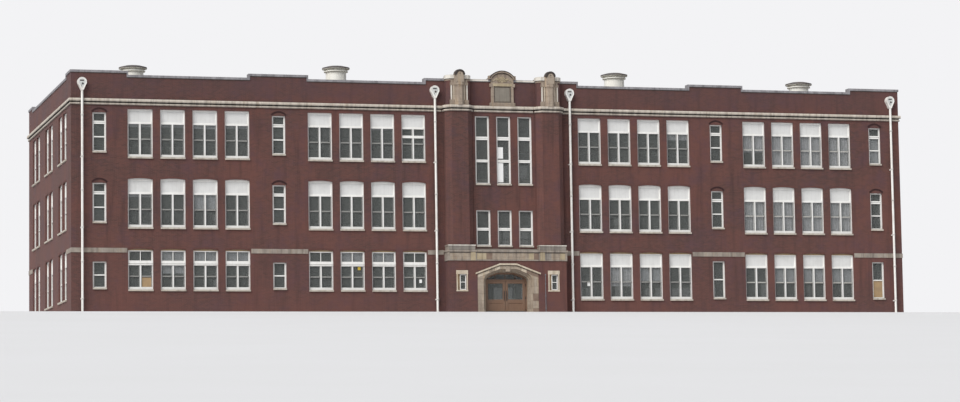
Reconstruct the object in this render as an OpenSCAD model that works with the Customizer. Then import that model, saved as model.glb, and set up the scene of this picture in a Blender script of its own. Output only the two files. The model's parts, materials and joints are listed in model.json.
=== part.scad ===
// Three-storey brick school with a stone-trimmed entrance bay, at half of its real size.
// X runs along the front, Y into the building, Z up from the ground. Millimetres of the model.

/* [Plan] */
// Depth from the front face of the wings to the back face
depth = 9150; // [8600:10:10500]
// Thickness of the brick walls
wall = 200; // [160:5:260]
// Brick between a turret and the first group of windows
centre_pier = 540; // [440:5:800]
// Brick between the two groups of windows of a wing
between_pier = 1692; // [1300:4:2000]
// Brick between the last group of windows and the corner
end_pier = 1588; // [1300:4:2000]
// Brick between the corner and the first pair of windows on an end wall
end_corner = 910; // [700:10:1300]

/* [Storeys] */
// Height of the ground floor over the ground
floor_rise = 40; // [30:1:60]
// Height from floor to floor
storey = 1978; // [1920:2:2200]
// Height of a window opening's foot over its floor
sill_rise = 415; // [350:5:480]
// Thickness of the upper floors and the roof deck
slab = 150; // [100:5:180]
// Brick between the top windows' heads and the cornice
cornice_gap = 100; // [80:1:160]
// Height of the cornice
cornice_h = 172; // [120:4:220]
// Height of the low parapet over the cornice, with its coping
parapet_h = 687; // [560:1:800]
// How far the raised parts of the parapet stand over the low ones
parapet_step = 115; // [80:5:160]
// Height of the coping stones
coping_h = 65; // [40:1:75]
// Height of the roof deck's top over the cornice
deck_rise = 270; // [180:5:320]

/* [Windows] */
// Width of a wide window
window_w = 710; // [640:5:760]
// Height of a wide window's opening, with its sill
window_h = 1395; // [1300:5:1440]
// How much higher the ground-storey windows of the left wing begin
left_rise = 235; // [200:5:260]
// Brick between two windows of a group
window_gap = 210; // [180:5:260]
// Windows in each group
group_count = 4; // [3:1:4]
// Rise of the flat arched heads of the wide windows of the two lower storeys
window_rise = 30; // [20:2:50]
// Width of a narrow window
narrow_w = 390; // [340:5:460]
// How far a narrow window's head lies under the wide windows' heads
narrow_drop = 115; // [90:5:160]
// How far a narrow window's foot lies over the wide windows' feet
narrow_lift = 145; // [100:5:200]
// How far the narrow ground-storey windows' heads lie under the wide windows' heads
ground_drop = 220; // [180:5:230]
// How far the narrow ground-storey windows' feet lie over the wide windows' feet
ground_lift = 45; // [20:5:100]
// Rise of the brick arch over a narrow window
narrow_rise = 100; // [70:5:105]
// Height of the stone sills
sill_h = 45; // [35:1:60]
// How far the sills stand out of the wall
sill_out = 36; // [20:1:50]
// Depth of the window frames behind the wall's face
reveal = 55; // [40:1:80]
// Height of the boarded panel at the top of a wide window, with its rail
panel_h = 400; // [340:5:450]
// Height of the top lights of the left wing's ground-storey windows
top_light_h = 272; // [220:4:300]
// Height of the transom under those top lights
transom_h = 118; // [80:2:130]

/* [Entrance bay] */
// Brick between the bay's outer windows and the turrets
bay_margin = 108; // [60:4:200]
// Width of a turret's front face
turret_face = 495; // [420:5:540]
// Width and depth of a turret's canted faces
turret_cant = 155; // [140:5:200]
// How far the turrets stand in front of the wings
turret_out = 340; // [310:5:400]
// How far the wall between the turrets stands in front of the wings
bay_out = 125; // [110:5:150]
// How far the parapet of the bay steps back over the cornice
parapet_back = 100; // [60:5:100]
// How far the turrets' tops step back over the cornice
turret_back = 65; // [40:5:90]
// How far the entrance storey stands in front of the turrets
base_past = 20; // [10:5:60]
// Width of a window of the bay
bay_window_w = 435; // [380:5:460]
// Distance between the middles of the bay's windows
bay_pitch = 642; // [600:2:650]
// Height of the tall windows
tall_h = 2010; // [1900:5:2150]
// How far the tall windows' heads lie under the top windows' heads of the wings
tall_drop = 16; // [0:2:40]
// Height of the low windows
low_h = 1070; // [950:5:1150]
// Height of the low windows' feet over the stone belt
weather_h = 105; // [80:5:140]

/* [Entrance storey] */
// Height of the stone belt's foot over the ground
belt_foot = 1575; // [1540:5:1600]
// Height of the stone belt with the ledge on it
belt_h = 305; // [260:5:320]
// Height of the blocks on the belt, under the turrets
block_h = 154; // [130:2:190]
// Half of the doorway's width between its stone jambs
portal_half = 650; // [600:5:680]
// Width of each stone jamb
jamb_w = 265; // [220:5:290]
// Height of the arch's springing over the ground
spring_h = 965; // [900:5:980]
// Radius of the arch's haunches
haunch_r = 200; // [150:5:260]
// Half of the width of the arch's level crown
crown_half = 255; // [180:5:300]
// Slope of the arch and of its hood past the crown, in degrees
hood_slope = 20.5; // [16:0.5:23]
// Thickness of the arch stones over the doorway
arch_ring = 200; // [150:5:215]
// Height of the hood moulding
hood_h = 45; // [35:1:60]
// Width of the small windows beside the doorway
side_w = 265; // [220:5:300]
// Height of the small windows beside the doorway
side_h = 455; // [400:5:480]
// Height of the small windows' feet over the ground
side_foot = 730; // [680:5:760]

/* [Doors] */
// Depth of the recess in front of the doors
porch_d = 300; // [220:5:340]
// Width of the door frame's members
door_frame_w = 50; // [40:1:60]
// Thickness of a door leaf
leaf_t = 26; // [20:1:36]
// Height of the doors over the ground, to the bar above them
door_head = 1015; // [980:5:1040]
// Clearance around a leaf
leaf_gap = 6; // [5:0.5:8]

/* [Rainwater and roof] */
// Diameter of the downspouts
spout_d = 66; // [50:2:80]
// Width of a rainwater head
head_w = 260; // [220:5:300]
// Height of a rainwater head with its funnel
head_h = 360; // [300:5:400]
// Diameter of a roof vent's drum
vent_drum_d = 605; // [500:5:640]
// Diameter of a roof vent's cap
vent_cap_d = 810; // [700:5:900]
// Height of the inner roof vents over the deck
vent_h = 1190; // [1000:10:1300]
// How much lower the outer roof vents are
vent_drop = 135; // [0:5:200]
// Distance of the roof vents behind the front face
vent_y = 2550; // [2200:10:3000]

/* [Hidden] */
$fn = 64;
overrun = 5;            // how far a cutting shape passes through
joint = 4;              // open joint between neighbouring stones
bay_count = 3;          // windows across the bay
pair_count = 2;         // windows in each group of an end wall
pair_places = [-1, 0, 1];
pair_w = pair_count * (window_w + window_gap) - window_gap;
end_pair_pitch = (depth - pair_w) / 2 - end_corner;

// Plan, from the building's middle outwards
turret_half = turret_face / 2 + turret_cant;
bay_in = (bay_count - 1) / 2 * bay_pitch + bay_window_w / 2 + bay_margin;
turret_x = bay_in + turret_half;
bay_half = turret_x + turret_half;
top_in = 52;            // turret's top inside its lower part, on each side
top_cant_share = 0.61;
top_half = turret_half - top_in;
top_cant = turret_cant * top_cant_share;
top_face = 2 * (top_half - top_cant);
top_out = turret_out - turret_back;
base_out = turret_out + base_past;
top_back = parapet_back - bay_out;
top_inner = turret_x - top_half;
top_outer = turret_x + top_half;
pitch = window_w + window_gap;
group_w = group_count * pitch - window_gap;
a_start = bay_half + centre_pier;
a_end = a_start + group_w;
b_start = a_end + between_pier;
b_end = b_start + group_w;
half_length = b_end + end_pier;
low_margin = 24;        // low parapet past the windows under it

// Levels
window_foot = floor_rise + sill_rise;
top_head = window_foot + 2 * storey + window_h;
cornice_z = top_head + cornice_gap;
roof_z = cornice_z + cornice_h;
low_top = roof_z + parapet_h;
high_top = low_top + parapet_step;
deck_z = roof_z + deck_rise;
levels = [0, 1, 2];

// Cornice in three courses: foot and head as shares of its height, and how far it stands out
cornice_out = 60;
cornice_shares = [[0, 0.31, 0.5], [0.31, 0.51, 0.2], [0.51, 1, 1]];
coping_out = 24;
step_out = 45;          // coping down the sides of the parapet's raised parts
string_h = 130;
string_drop = 85;       // string course's foot under the ground windows' heads
string_out = 14;

// Window joinery
frame_w = 30;
frame_d = 60;
bar_d = 30;
rail_w = 34;
mullion_w = 40;
glass_t = 10;
board_t = 14;
meeting_share = 0.52;   // meeting rail, as a share of the glazed height
sash_w = 16;            // sash stile beside the frame
light_bar_w = 18;       // bar in the middle of a top light
transom_out = 18;
narrow_bar_shares = [0.4, 0.78];
ground_bar_shares = [0.52];

// Bay windows: places, and cross bars as shares of the height
tall_foot = top_head - tall_drop - tall_h;
low_foot = belt_foot + belt_h + weather_h;
tall_bar_shares = [0.365, 0.685];
low_bar_shares = [0.505];

// Entrance stone
belt_out = 20;
belt_ledge_h = 50;
belt_ledge_out = 22;
block_cap_h = 34;       // thin course on the blocks under the turrets
block_cap_out = 16;
panel_edge = 32;        // plain border of the belt's sunk panels
panel_pier = 150;       // plain stone between the middle panel and those under the turrets
panel_d = 10;
hood_out = 40;
hood_past = 60;         // hood past the jamb's outer edge
groove_h = 36;          // sunk course under the hood
groove_d = 22;
surround_d = porch_d + frame_d;
order_count = 2;        // moulded steps of the arch and its jambs
order_w = 42;
order_d = 55;
side_shift = 34;        // side window past the middle of its piece of wall
side_x = (portal_half + jamb_w + bay_half) / 2 - side_w / 2 + side_shift;
side_lintel_h = 110;
side_lintel_past = 44;
side_sill_h = 40;
side_stone_out = 12;
side_jamb_w = 34;

// Turret caps and the tablet between them
ledge_h = 18;
cap_coping_h = 130;
cap_coping_up = 45;     // coping of a turret over the parapet's raised parts
cap_coping_in = 12;
cap_base_h = 150;
cap_base_wide = 28;
cap_base_out = 36;
cap_panel_out = 16;
cap_strip_w = 42;
cap_strip_out = 30;
cap_strip_shares = [0.92, 0.62];
cap_capital_h = 73;
cap_capital_drop = 67;
column_r = 130;
column_out = 9;         // column's middle before the face of the turret's top
column_foot_out = 10;
niche_r = 150;          // column's wider head, from its capital up
dome_r = 158;
dome_rise = 140;
dome_up = 52;           // dome's foot over the turret's coping
tablet_half = 340;
tablet_out = 50;
arch_half = 384;
arch_up = 40;           // arch's springing over the parapet's raised parts
arch_rise = 215;
arch_band = 52;
arch_band_out = 22;
ear_past = 31;
ear_h = 34;
tympanum_d = 18;
plinth_h = 120;
plinth_past = 42;
plinth_out = 22;
capital_foot = 584;
capital_h = 95;
capital_past = 40;
capital_w = 82;
capital_out = 16;
recess_half = 258;
recess_foot = 130;
recess_h = 468;
recess_d = 24;
tympanum_foot = 712;

// Brick arches over the narrow windows
arch_brick_h = 52;
arch_brick_out = 6;

// Doors and hinges
frame_y = porch_d - base_out;
leaf_y = frame_y + leaf_gap;
leaf_w = portal_half - door_frame_w - 1.75 * leaf_gap;
leaf_h = door_head - floor_rise - 2 * leaf_gap;
stile_w = 62;
lock_rail_z = 330;
lock_rail_h = 90;
bottom_rail_h = 110;
panel_cut = 8;
hinge_r = 6;
pin_r = 3;
pin_gap = 0.3;
hinge_h = 66;
hinge_plate_w = 26;
hinge_plate_t = 3;
hinge_shares = [0.12, 0.5, 0.88];
hinge_x = portal_half - door_frame_w - leaf_gap / 2;
hinge_y = frame_y - hinge_r;
bar_h = 40;

// Rainwater goods
spout_x = (bay_half + a_start) / 2;
spout_end = (b_end + end_pier / 2 + narrow_w / 2 + half_length) / 2;
spout_gap = 7;
spout_y = cornice_out + spout_d / 2 + spout_gap;
head_d = spout_y + spout_d / 2;
head_up = 215;          // rainwater head's foot over the cornice
head_foot = roof_z + head_up;
head_taper = 40;        // angle under the middle where the head's round part meets its taper
slot_w = 96;
slot_h = 30;
hole_d = 52;
slot_d = 30;
clip_h = 30;
clip_w = 84;
spout_wall = 5;

// Roof vents
vent_past = 292;        // vent past the middle of the first group
vent_back = 570;        // vent before the second group's end
vent_a = (a_start + a_end) / 2 + vent_past;
vent_b = b_end - vent_back;
vent_curb_w = 60;
vent_curb_h = 120;
flange_w = 54;
flange_h = 28;
flange_drop = 188;      // flange's foot under the vent's top
neck_w = 12;
brim_h = 40;
brim_drop = 105;        // brim's foot under the vent's top
crown_h = 20;           // height of the crown's flatter middle
crown_share = 0.3;

// The row's origin is at the middle of the ground outline
front_reach = max(base_out + max(belt_out + belt_ledge_out, hood_out), turret_out + cornice_out);
front_y = (front_reach - depth - cornice_out) / 2;

// Places
module placed() translate([0, front_y, 0]) children();
module both_sides() for (side = [0, 1]) mirror([side, 0, 0]) children();
module on_back() translate([0, depth, 0]) mirror([0, 1, 0]) children();
module on_end() translate([-half_length, depth / 2, 0]) rotate([0, 0, -90]) children();
module on_ends() both_sides() on_end() children();

// An outline drawn in X and Z, given its depth along Y
module upright(y0, y1) translate([0, y1, 0]) rotate([90, 0, 0]) linear_extrude(y1 - y0) children();
module block(x0, x1, y0, y1, z0, z1) translate([x0, y0, z0]) cube([x1 - x0, y1 - y0, z1 - z0]);

function level_z(level) = window_foot + level * storey;
function group_xs(start, count) = [for (i = [0 : count - 1]) start + i * pitch];
wing_xs = concat(group_xs(a_start, group_count), group_xs(b_start, group_count));
narrow_xs = [a_end + between_pier / 2 - narrow_w / 2, b_end + end_pier / 2 - narrow_w / 2];
middle_xs = group_xs(window_gap / 2, group_count / 2);
end_xs = [
    for (place = pair_places) for (i = [0 : pair_count - 1])
        place * end_pair_pitch - (pair_count * pitch - window_gap) / 2 + i * pitch
];
end_low = max(end_xs) + window_w + low_margin;
bay_xs = [for (i = [0 : bay_count - 1]) (i - (bay_count - 1) / 2) * bay_pitch - bay_window_w / 2];

// Windows of the front's two wings; $rise is how much higher those of the ground storey begin
$rise = 0;
module left_wing() let ($rise = left_rise) mirror([1, 0, 0]) children();
module both_wings() {
    children();
    left_wing() children();
}

function foot_z(level) = level_z(level) + (level == 0 ? $rise : 0);
module at_wide(xs, storeys = levels) for (x = xs) for (level = storeys)
    let ($wide_h = window_h + level_z(level) - foot_z(level), $arched = level < 2)
        translate([x, 0, foot_z(level)]) children();
function lift_at(level) = level == 0 ? $rise + ground_lift : narrow_lift;
function drop_at(level) = level == 0 ? ground_drop + $rise / 2 : narrow_drop;
module at_narrow(storeys = levels) for (x = narrow_xs) for (level = storeys)
    let ($narrow_h = window_h - drop_at(level) - lift_at(level))
        translate([x, 0, level_z(level) + lift_at(level)]) children();

module hole(x0, x1, z0, z1) translate([x0, z0]) square([x1 - x0, z1 - z0]);

// A round head of the given rise over a width of twice the half
module round_head(half, rise, foot) {
    r = (pow(half, 2) + pow(rise, 2)) / (2 * rise);
    intersection() {
        translate([0, foot + rise - r]) circle(r, $fn = 128);
        translate([-half, foot]) square([2 * half, rise]);
    }
}

// Outline of a window, with an arched head where $arched is set
$arched = false;
module outline(w, foot, head) {
    hole(0, w, foot, head);
    if ($arched) translate([w / 2, 0]) round_head(w / 2, window_rise, head);
}

module opening(w, h) upright(-overrun, wall + overrun) outline(w, 0, h);

// Brick walls
module wing_outline() polygon([
    [bay_half, 0], [half_length, 0], [half_length, high_top - coping_h],
    [b_end + low_margin, high_top - coping_h], [b_end + low_margin, low_top - coping_h],
    [b_start - low_margin, low_top - coping_h], [b_start - low_margin, high_top - coping_h],
    [a_end + low_margin, high_top - coping_h], [a_end + low_margin, low_top - coping_h],
    [a_start - low_margin, low_top - coping_h], [a_start - low_margin, high_top - coping_h],
    [top_outer, high_top - coping_h], [top_outer, roof_z], [bay_half, roof_z]
]);

module wing_wall() color("#6b4038") placed() difference() {
    upright(0, wall) wing_outline();
    at_wide(wing_xs) opening(window_w, $wide_h);
    at_narrow() opening(narrow_w, $narrow_h);
}

module front_wall_right() wing_wall();
module front_wall_left() left_wing() wing_wall();

module bay_wall() color("#6b4038") placed() difference() {
    union() {
        block(-bay_in, bay_in, -bay_out, wall, belt_foot + belt_h, roof_z);
        block(-top_inner, top_inner, top_back, wall, roof_z, high_top - coping_h);
    }
    block(-tablet_half, tablet_half, -bay_out - overrun, wall + overrun, roof_z, high_top);
    for (x = bay_xs) {
        block(x, x + bay_window_w, -bay_out - overrun, wall + overrun, low_foot, low_foot + low_h);
        block(x, x + bay_window_w, -bay_out - overrun, wall + overrun, tall_foot, tall_foot + tall_h);
    }
}

// Outline of a turret grown by g on its three front faces and its two returns
grow_share = tan(22.5);
function canted(half, cant, out, inner, g) = [
    [turret_x - half - cant - g, inner],
    [turret_x - half - cant - g, cant - out - g * grow_share],
    [turret_x - half - g * grow_share, -out - g],
    [turret_x + half + g * grow_share, -out - g],
    [turret_x + half + cant + g, cant - out - g * grow_share],
    [turret_x + half + cant + g, 0]
];
function turret_points(g) = canted(turret_face / 2, turret_cant, turret_out, -bay_out, g);
function top_points(g) = canted(top_face / 2, top_cant, top_out, top_back, g);
function back_points(half) = [[turret_x + half, wall], [turret_x - half, wall]];

turret_foot = belt_foot + belt_h + block_h;
turret_top = high_top + cap_coping_up - cap_coping_h;

module turret() color("#6b4038") placed() {
    translate([0, 0, turret_foot]) linear_extrude(roof_z - turret_foot)
        polygon(concat(turret_points(0), back_points(turret_half)));
    translate([0, 0, roof_z]) linear_extrude(turret_top - roof_z)
        polygon(concat(top_points(0), back_points(top_half)));
}

module right_turret() turret();
module left_turret() mirror([1, 0, 0]) turret();

module entrance_side() color("#6b4038") placed() difference() {
    block(portal_half + jamb_w, bay_half, -base_out, wall, 0, belt_foot);
    block(side_x, side_x + side_w, -base_out - overrun, wall + overrun, side_foot, side_foot + side_h);
}

module entrance_wall_right() entrance_side();
module entrance_wall_left() mirror([1, 0, 0]) entrance_side();

// The doorway's arch is level over its crown, slopes past it and turns down in round haunches;
// the stones over it keep the same slopes
haunch_x = portal_half - haunch_r;
arch_peak = spring_h + haunch_r / cos(hood_slope) + haunch_x * tan(hood_slope);
crown_z = arch_peak - crown_half * tan(hood_slope);
ring_top = crown_z + arch_ring;
ring_half = portal_half + jamb_w;
function slope_z(top, x) = top - max(0, x - crown_half) * tan(hood_slope);
function sloped(top, half) = [
    [-half, slope_z(top, half)], [-crown_half, top], [crown_half, top], [half, slope_z(top, half)]
];
function turned(points) = [for (i = [len(points) - 1 : -1 : 0]) points[i]];

module entrance_wall_over() color("#6b4038") placed() upright(-base_out, wall)
    polygon(concat([[-ring_half, belt_foot]], sloped(ring_top, ring_half), [[ring_half, belt_foot]]));

module end_wall() color("#6b4038") placed() on_end() difference() {
    upright(0, wall) polygon([
        [wall - depth / 2, 0], [depth / 2 - wall, 0], [depth / 2 - wall, high_top - coping_h],
        [end_low, high_top - coping_h], [end_low, low_top - coping_h],
        [-end_low, low_top - coping_h], [-end_low, high_top - coping_h],
        [wall - depth / 2, high_top - coping_h]
    ]);
    at_wide(end_xs) opening(window_w, $wide_h);
}

module left_wall() end_wall();
module right_wall() mirror([1, 0, 0]) end_wall();

module back_wall() color("#6b4038") placed() on_back() difference() {
    union() {
        both_sides() upright(0, wall) wing_outline();
        block(-bay_half, bay_half, 0, wall, 0, high_top - coping_h);
    }
    both_sides() {
        at_wide(wing_xs) opening(window_w, $wide_h);
        at_wide(middle_xs) opening(window_w, $wide_h);
        at_narrow() opening(narrow_w, $narrow_h);
    }
}

// Floors and roof
module floor_slab(z0, z1)
    block(wall - half_length, half_length - wall, wall, depth - wall, z0, z1);

module ground_floor() color("#8b8378") placed() floor_slab(0, floor_rise);
module second_floor() color("#8b8378") placed()
    floor_slab(floor_rise + storey - slab, floor_rise + storey);
module third_floor() color("#8b8378") placed()
    floor_slab(floor_rise + 2 * storey - slab, floor_rise + 2 * storey);
module roof_deck() color("#55534f") placed() floor_slab(deck_z - slab, deck_z);

// A mushroom ventilator of height h: curb, drum, thin flange, neck and a flat cap with a shallow crown
module vent(h) rotate_extrude() polygon([
    [0, 0], [vent_drum_d / 2 + vent_curb_w, 0], [vent_drum_d / 2 + vent_curb_w, vent_curb_h],
    [vent_drum_d / 2, vent_curb_h], [vent_drum_d / 2, h - flange_drop],
    [vent_drum_d / 2 + flange_w, h - flange_drop], [vent_drum_d / 2 + flange_w, h - flange_drop + flange_h],
    [vent_drum_d / 2 - neck_w, h - flange_drop + flange_h], [vent_drum_d / 2 - neck_w, h - brim_drop],
    [vent_cap_d / 2, h - brim_drop], [vent_cap_d / 2, h - brim_drop + brim_h],
    [vent_cap_d * crown_share, h - crown_h], [0, h]
]);

module roof_vents() color("#e6e3da") placed() both_sides() {
    translate([vent_a, vent_y, deck_z]) vent(vent_h);
    translate([vent_b, vent_y, deck_z]) vent(vent_h - vent_drop);
}

// Stone courses
module straight_cornice(x0, x1) for (course = cornice_shares)
    block(x0, x1, -cornice_out * course[2], 0, cornice_z + cornice_h * course[0],
        cornice_z + cornice_h * course[1]);

module corner_cornice(x0, x1) for (course = cornice_shares)
    block(x0, x1 + cornice_out * course[2], -cornice_out * course[2], 0,
        cornice_z + cornice_h * course[0], cornice_z + cornice_h * course[1]);

module turret_cornice() for (course = cornice_shares)
    translate([0, 0, cornice_z + cornice_h * course[0]])
        linear_extrude(cornice_h * (course[1] - course[0])) polygon(concat(
            turret_points(cornice_out * course[2]),
            turned(turret_points(0))
        ));

module front_cornice() color("#a2958a") placed() {
    both_sides() {
        corner_cornice(bay_half + cornice_out + joint, half_length);
        turret_cornice();
    }
    translate([0, -bay_out, 0])
        straight_cornice(joint + cornice_out - bay_in, bay_in - cornice_out - joint);
    both_sides() block(tablet_half + plinth_past + joint, bay_in - joint, -bay_out, top_back,
        roof_z, roof_z + ledge_h);
}

module rear_cornice() color("#a2958a") placed() {
    on_back() both_sides() corner_cornice(joint / 2, half_length);
    on_ends() straight_cornice(joint - depth / 2, depth / 2 - joint);
}

module coping(x0, x1, top)
    block(x0, x1, -coping_out, wall + coping_out, top - coping_h, top);

// Coping down the open side of a raised part, to the low parapet's coping
module step_coping(x, side) {
    x0 = side > 0 ? x : x - step_out;
    block(x0, x0 + step_out, -coping_out, wall + coping_out, low_top, high_top - coping_h);
}

module wing_coping() {
    coping(b_end + low_margin - step_out, half_length + coping_out, high_top);
    step_coping(b_end + low_margin, -1);
    coping(b_start - low_margin, b_end + low_margin, low_top);
    step_coping(b_start - low_margin, 1);
    coping(a_end + low_margin - step_out, b_start - low_margin + step_out, high_top);
    step_coping(a_end + low_margin, -1);
    coping(a_start - low_margin, a_end + low_margin, low_top);
    step_coping(a_start - low_margin, 1);
}

module front_coping() color("#7d8488") placed() both_sides() {
    wing_coping();
    coping(top_outer + cap_coping_in + joint, a_start - low_margin + step_out, high_top);
    block(tablet_half + joint, top_inner - cap_coping_in - joint, top_back - coping_out,
        wall + coping_out, high_top - coping_h, high_top);
}

module rear_coping() color("#7d8488") placed() {
    on_back() both_sides() {
        wing_coping();
        coping(joint / 2, a_start - low_margin + step_out, high_top);
    }
    on_ends() {
        coping(-end_low, end_low, low_top);
        both_sides() {
            coping(end_low - step_out, depth / 2 - wall - coping_out - joint, high_top);
            step_coping(end_low, -1);
        }
    }
}

module string_run(x0, x1) block(x0, x1, -string_out, 0,
    window_foot + window_h - string_drop, window_foot + window_h - string_drop + string_h);

module wing_strings() {
    string_run(a_end + low_margin, b_start - low_margin);
    string_run(b_end + low_margin, half_length + string_out);
}

module string_course() color("#a2958a") placed() {
    both_sides() {
        string_run(bay_half + belt_out + belt_ledge_out + joint, a_start - low_margin);
        wing_strings();
    }
    on_back() both_sides() wing_strings();
    on_ends() both_sides() string_run(end_low, depth / 2 - joint);
}

// Entrance storey
belt_top = belt_foot + belt_h;
module belt_panel(x0, x1) block(x0, x1, -base_out - belt_out - overrun, panel_d - base_out - belt_out,
    belt_foot + panel_edge, belt_top - belt_ledge_h - panel_edge);

module belt_course(past, z0, z1)
    block(-bay_half - past, bay_half + past, -base_out - past, 0, z0, z1);

module entrance_belt() color("#a2958a") placed() {
    difference() {
        union() {
            block(-bay_half, bay_half, -base_out, wall, belt_foot, belt_top);
            belt_course(belt_out, belt_foot, belt_top);
            belt_course(belt_out + belt_ledge_out, belt_top - belt_ledge_h, belt_top);
        }
        belt_panel(-bay_in + panel_edge, bay_in - panel_edge);
        both_sides() belt_panel(bay_in + panel_pier, bay_half - panel_edge);
    }
    both_sides() {
        block(bay_in, bay_half, -base_out, wall, belt_top, turret_foot);
        block(bay_in - block_cap_out, bay_half, -base_out - block_cap_out, -bay_out,
            turret_foot - block_cap_h, turret_foot);
        block(bay_in, bay_half + block_cap_out, -base_out - block_cap_out, 0,
            turret_foot - block_cap_h, turret_foot);
    }
    translate([-bay_in, 0, 0]) rotate([90, 0, 90]) linear_extrude(2 * bay_in) polygon([
        [-base_out - belt_out, belt_top], [-bay_out, belt_top], [-bay_out, low_foot - sill_h]
    ]);
}

// Outline of the arched doorway grown by g
arch_steps = 8;
function crown_x(g) = crown_half + g * tan(hood_slope / 2);
function arch_side(g) = [for (i = [0 : arch_steps]) let (a = (90 - hood_slope) * i / arch_steps)
    [haunch_x + (haunch_r + g) * cos(a), spring_h + (haunch_r + g) * sin(a)]];
function arch_edge(g, foot) = concat([[portal_half + g, foot]], arch_side(g), [[crown_x(g), crown_z + g]]);
function arch_points(g, foot) = concat(
    arch_edge(g, foot), [for (p = turned(arch_edge(g, foot))) [-p[0], p[1]]]
);

module portal_surround() color("#a2958a") placed() difference() {
    upright(-base_out, -base_out + surround_d)
        polygon(concat([[-ring_half, 0]], sloped(ring_top, ring_half), [[ring_half, 0]]));
    upright(-base_out - overrun, -base_out + surround_d + overrun) polygon(arch_points(0, -overrun));
    for (i = [1 : order_count]) upright(-base_out - overrun, -base_out + (order_count + 1 - i) * order_d)
        polygon(arch_points(i * order_w, -overrun));
    upright(-base_out - overrun, -base_out + groove_d) polygon(concat(
        sloped(ring_top + overrun, ring_half + overrun),
        turned(sloped(ring_top - groove_h, ring_half + overrun))
    ));
}

module portal_hood() color("#a2958a") placed() upright(-base_out - hood_out, -base_out)
    polygon(concat(sloped(ring_top, ring_half + hood_past),
        turned(sloped(ring_top + hood_h, ring_half + hood_past))));

module side_stone(x0, x1, z0, z1) translate([side_x, 0, side_foot])
    block(x0, x1, -base_out - side_stone_out, -base_out, z0, z1);

module side_window_stones() color("#a2958a") placed() both_sides() {
    side_stone(-side_lintel_past, side_w + side_lintel_past, side_h, side_h + side_lintel_h);
    side_stone(-side_lintel_past, side_w + side_lintel_past, -side_sill_h, 0);
    side_stone(-side_jamb_w, 0, 0, side_h);
    side_stone(side_w, side_w + side_jamb_w, 0, side_h);
}

module threshold() color("#a2958a") placed()
    block(-portal_half, portal_half, -base_out, wall, 0, floor_rise);

// Stone heads of the turrets: a ledge and a coping round the top, and on its front face a panel
// with flat strips and an eight-sided half column that widens over its capital and carries a dome
column_sides = 8;
module octagon(r) translate([turret_x, -top_out - column_out]) rotate(180 / column_sides)
    circle(r / cos(180 / column_sides), $fn = column_sides);

module half_column(r, z0, z1) translate([0, 0, z0]) linear_extrude(z1 - z0) intersection() {
    octagon(r);
    translate([turret_x - turret_half, -2 * turret_out]) square([2 * turret_half, 2 * turret_out - top_out]);
}

module cap_block(half, out, z0, z1) block(turret_x - half, turret_x + half, -top_out - out, -top_out, z0, z1);

module cap_ring(g, z0, z1) translate([0, 0, z0]) linear_extrude(z1 - z0) polygon(concat(
    top_points(g), [[turret_x + top_half, 0]], back_points(top_half), [[turret_x - top_half, top_back]]
));

module turret_cap() {
    face = top_face / 2;
    capital_z = turret_top - cap_capital_drop;
    dome_z = turret_top + cap_coping_h + dome_up;
    translate([0, 0, roof_z]) linear_extrude(ledge_h) polygon(concat(
        [[turret_x - turret_half, top_back]], turret_points(0),
        turned(top_points(0))
    ));
    cap_ring(cap_coping_in, turret_top, high_top + joint);
    cap_ring(coping_out, high_top + joint, turret_top + cap_coping_h);
    cap_block(face, cap_panel_out, roof_z, turret_top);
    cap_block(face + cap_base_wide, cap_base_out, roof_z, roof_z + cap_base_h);
    cap_block(face + cap_base_wide / 2, cap_base_out, capital_z - cap_capital_h, capital_z);
    for (side = [-1, 1]) for (share = cap_strip_shares)
        translate([side * (face * share - cap_strip_w / 2), 0, 0])
            cap_block(cap_strip_w / 2, cap_strip_out, roof_z, turret_top);
    half_column(column_r + column_foot_out, roof_z, roof_z + cap_base_h);
    half_column(column_r, roof_z, capital_z);
    half_column(niche_r, capital_z - cap_capital_h, turret_top);
    translate([0, 0, turret_top]) linear_extrude(dome_z - turret_top) octagon(niche_r);
    translate([turret_x, -top_out - column_out, dome_z]) intersection() {
        translate([0, 0, dome_rise - dome_r]) sphere(dome_r);
        cylinder(h = dome_r, r = dome_r);
    }
}

module turret_caps() color("#a2958a") placed() both_sides() turret_cap();

// The round-headed tablet in the parapet of the bay, with eared arch, capitals and plinth
arch_foot = high_top + arch_up;
tablet_back = wall - top_back;

module centre_tablet() color("#a2958a") placed() translate([0, top_back, 0]) difference() {
    union() {
        upright(-tablet_out, tablet_back) {
            hole(-tablet_half, tablet_half, roof_z, arch_foot);
            round_head(tablet_half, arch_rise - arch_band / 2, arch_foot);
        }
        upright(-tablet_out - arch_band_out, tablet_back) difference() {
            round_head(arch_half, arch_rise, arch_foot);
            round_head(arch_half - arch_band, arch_rise - arch_band, arch_foot);
        }
        block(-tablet_half - plinth_past, tablet_half + plinth_past, -tablet_out - plinth_out, 0,
            roof_z, roof_z + plinth_h);
        both_sides() {
            block(arch_half - arch_band, arch_half + ear_past, -tablet_out - arch_band_out,
                tablet_back, arch_foot - ear_h, arch_foot);
            block(tablet_half + capital_past - capital_w, tablet_half + capital_past,
                -tablet_out - capital_out, 0, roof_z + capital_foot, roof_z + capital_foot + capital_h);
        }
    }
    upright(-tablet_out - overrun, tympanum_d - tablet_out) {
        hole(arch_band - arch_half, arch_half - arch_band, roof_z + tympanum_foot, arch_foot);
        round_head(arch_half - arch_band, arch_rise - arch_band, arch_foot);
    }
    block(-recess_half, recess_half, -tablet_out - plinth_out - overrun, recess_d - tablet_out,
        roof_z + recess_foot, roof_z + recess_foot + recess_h);
}

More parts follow.
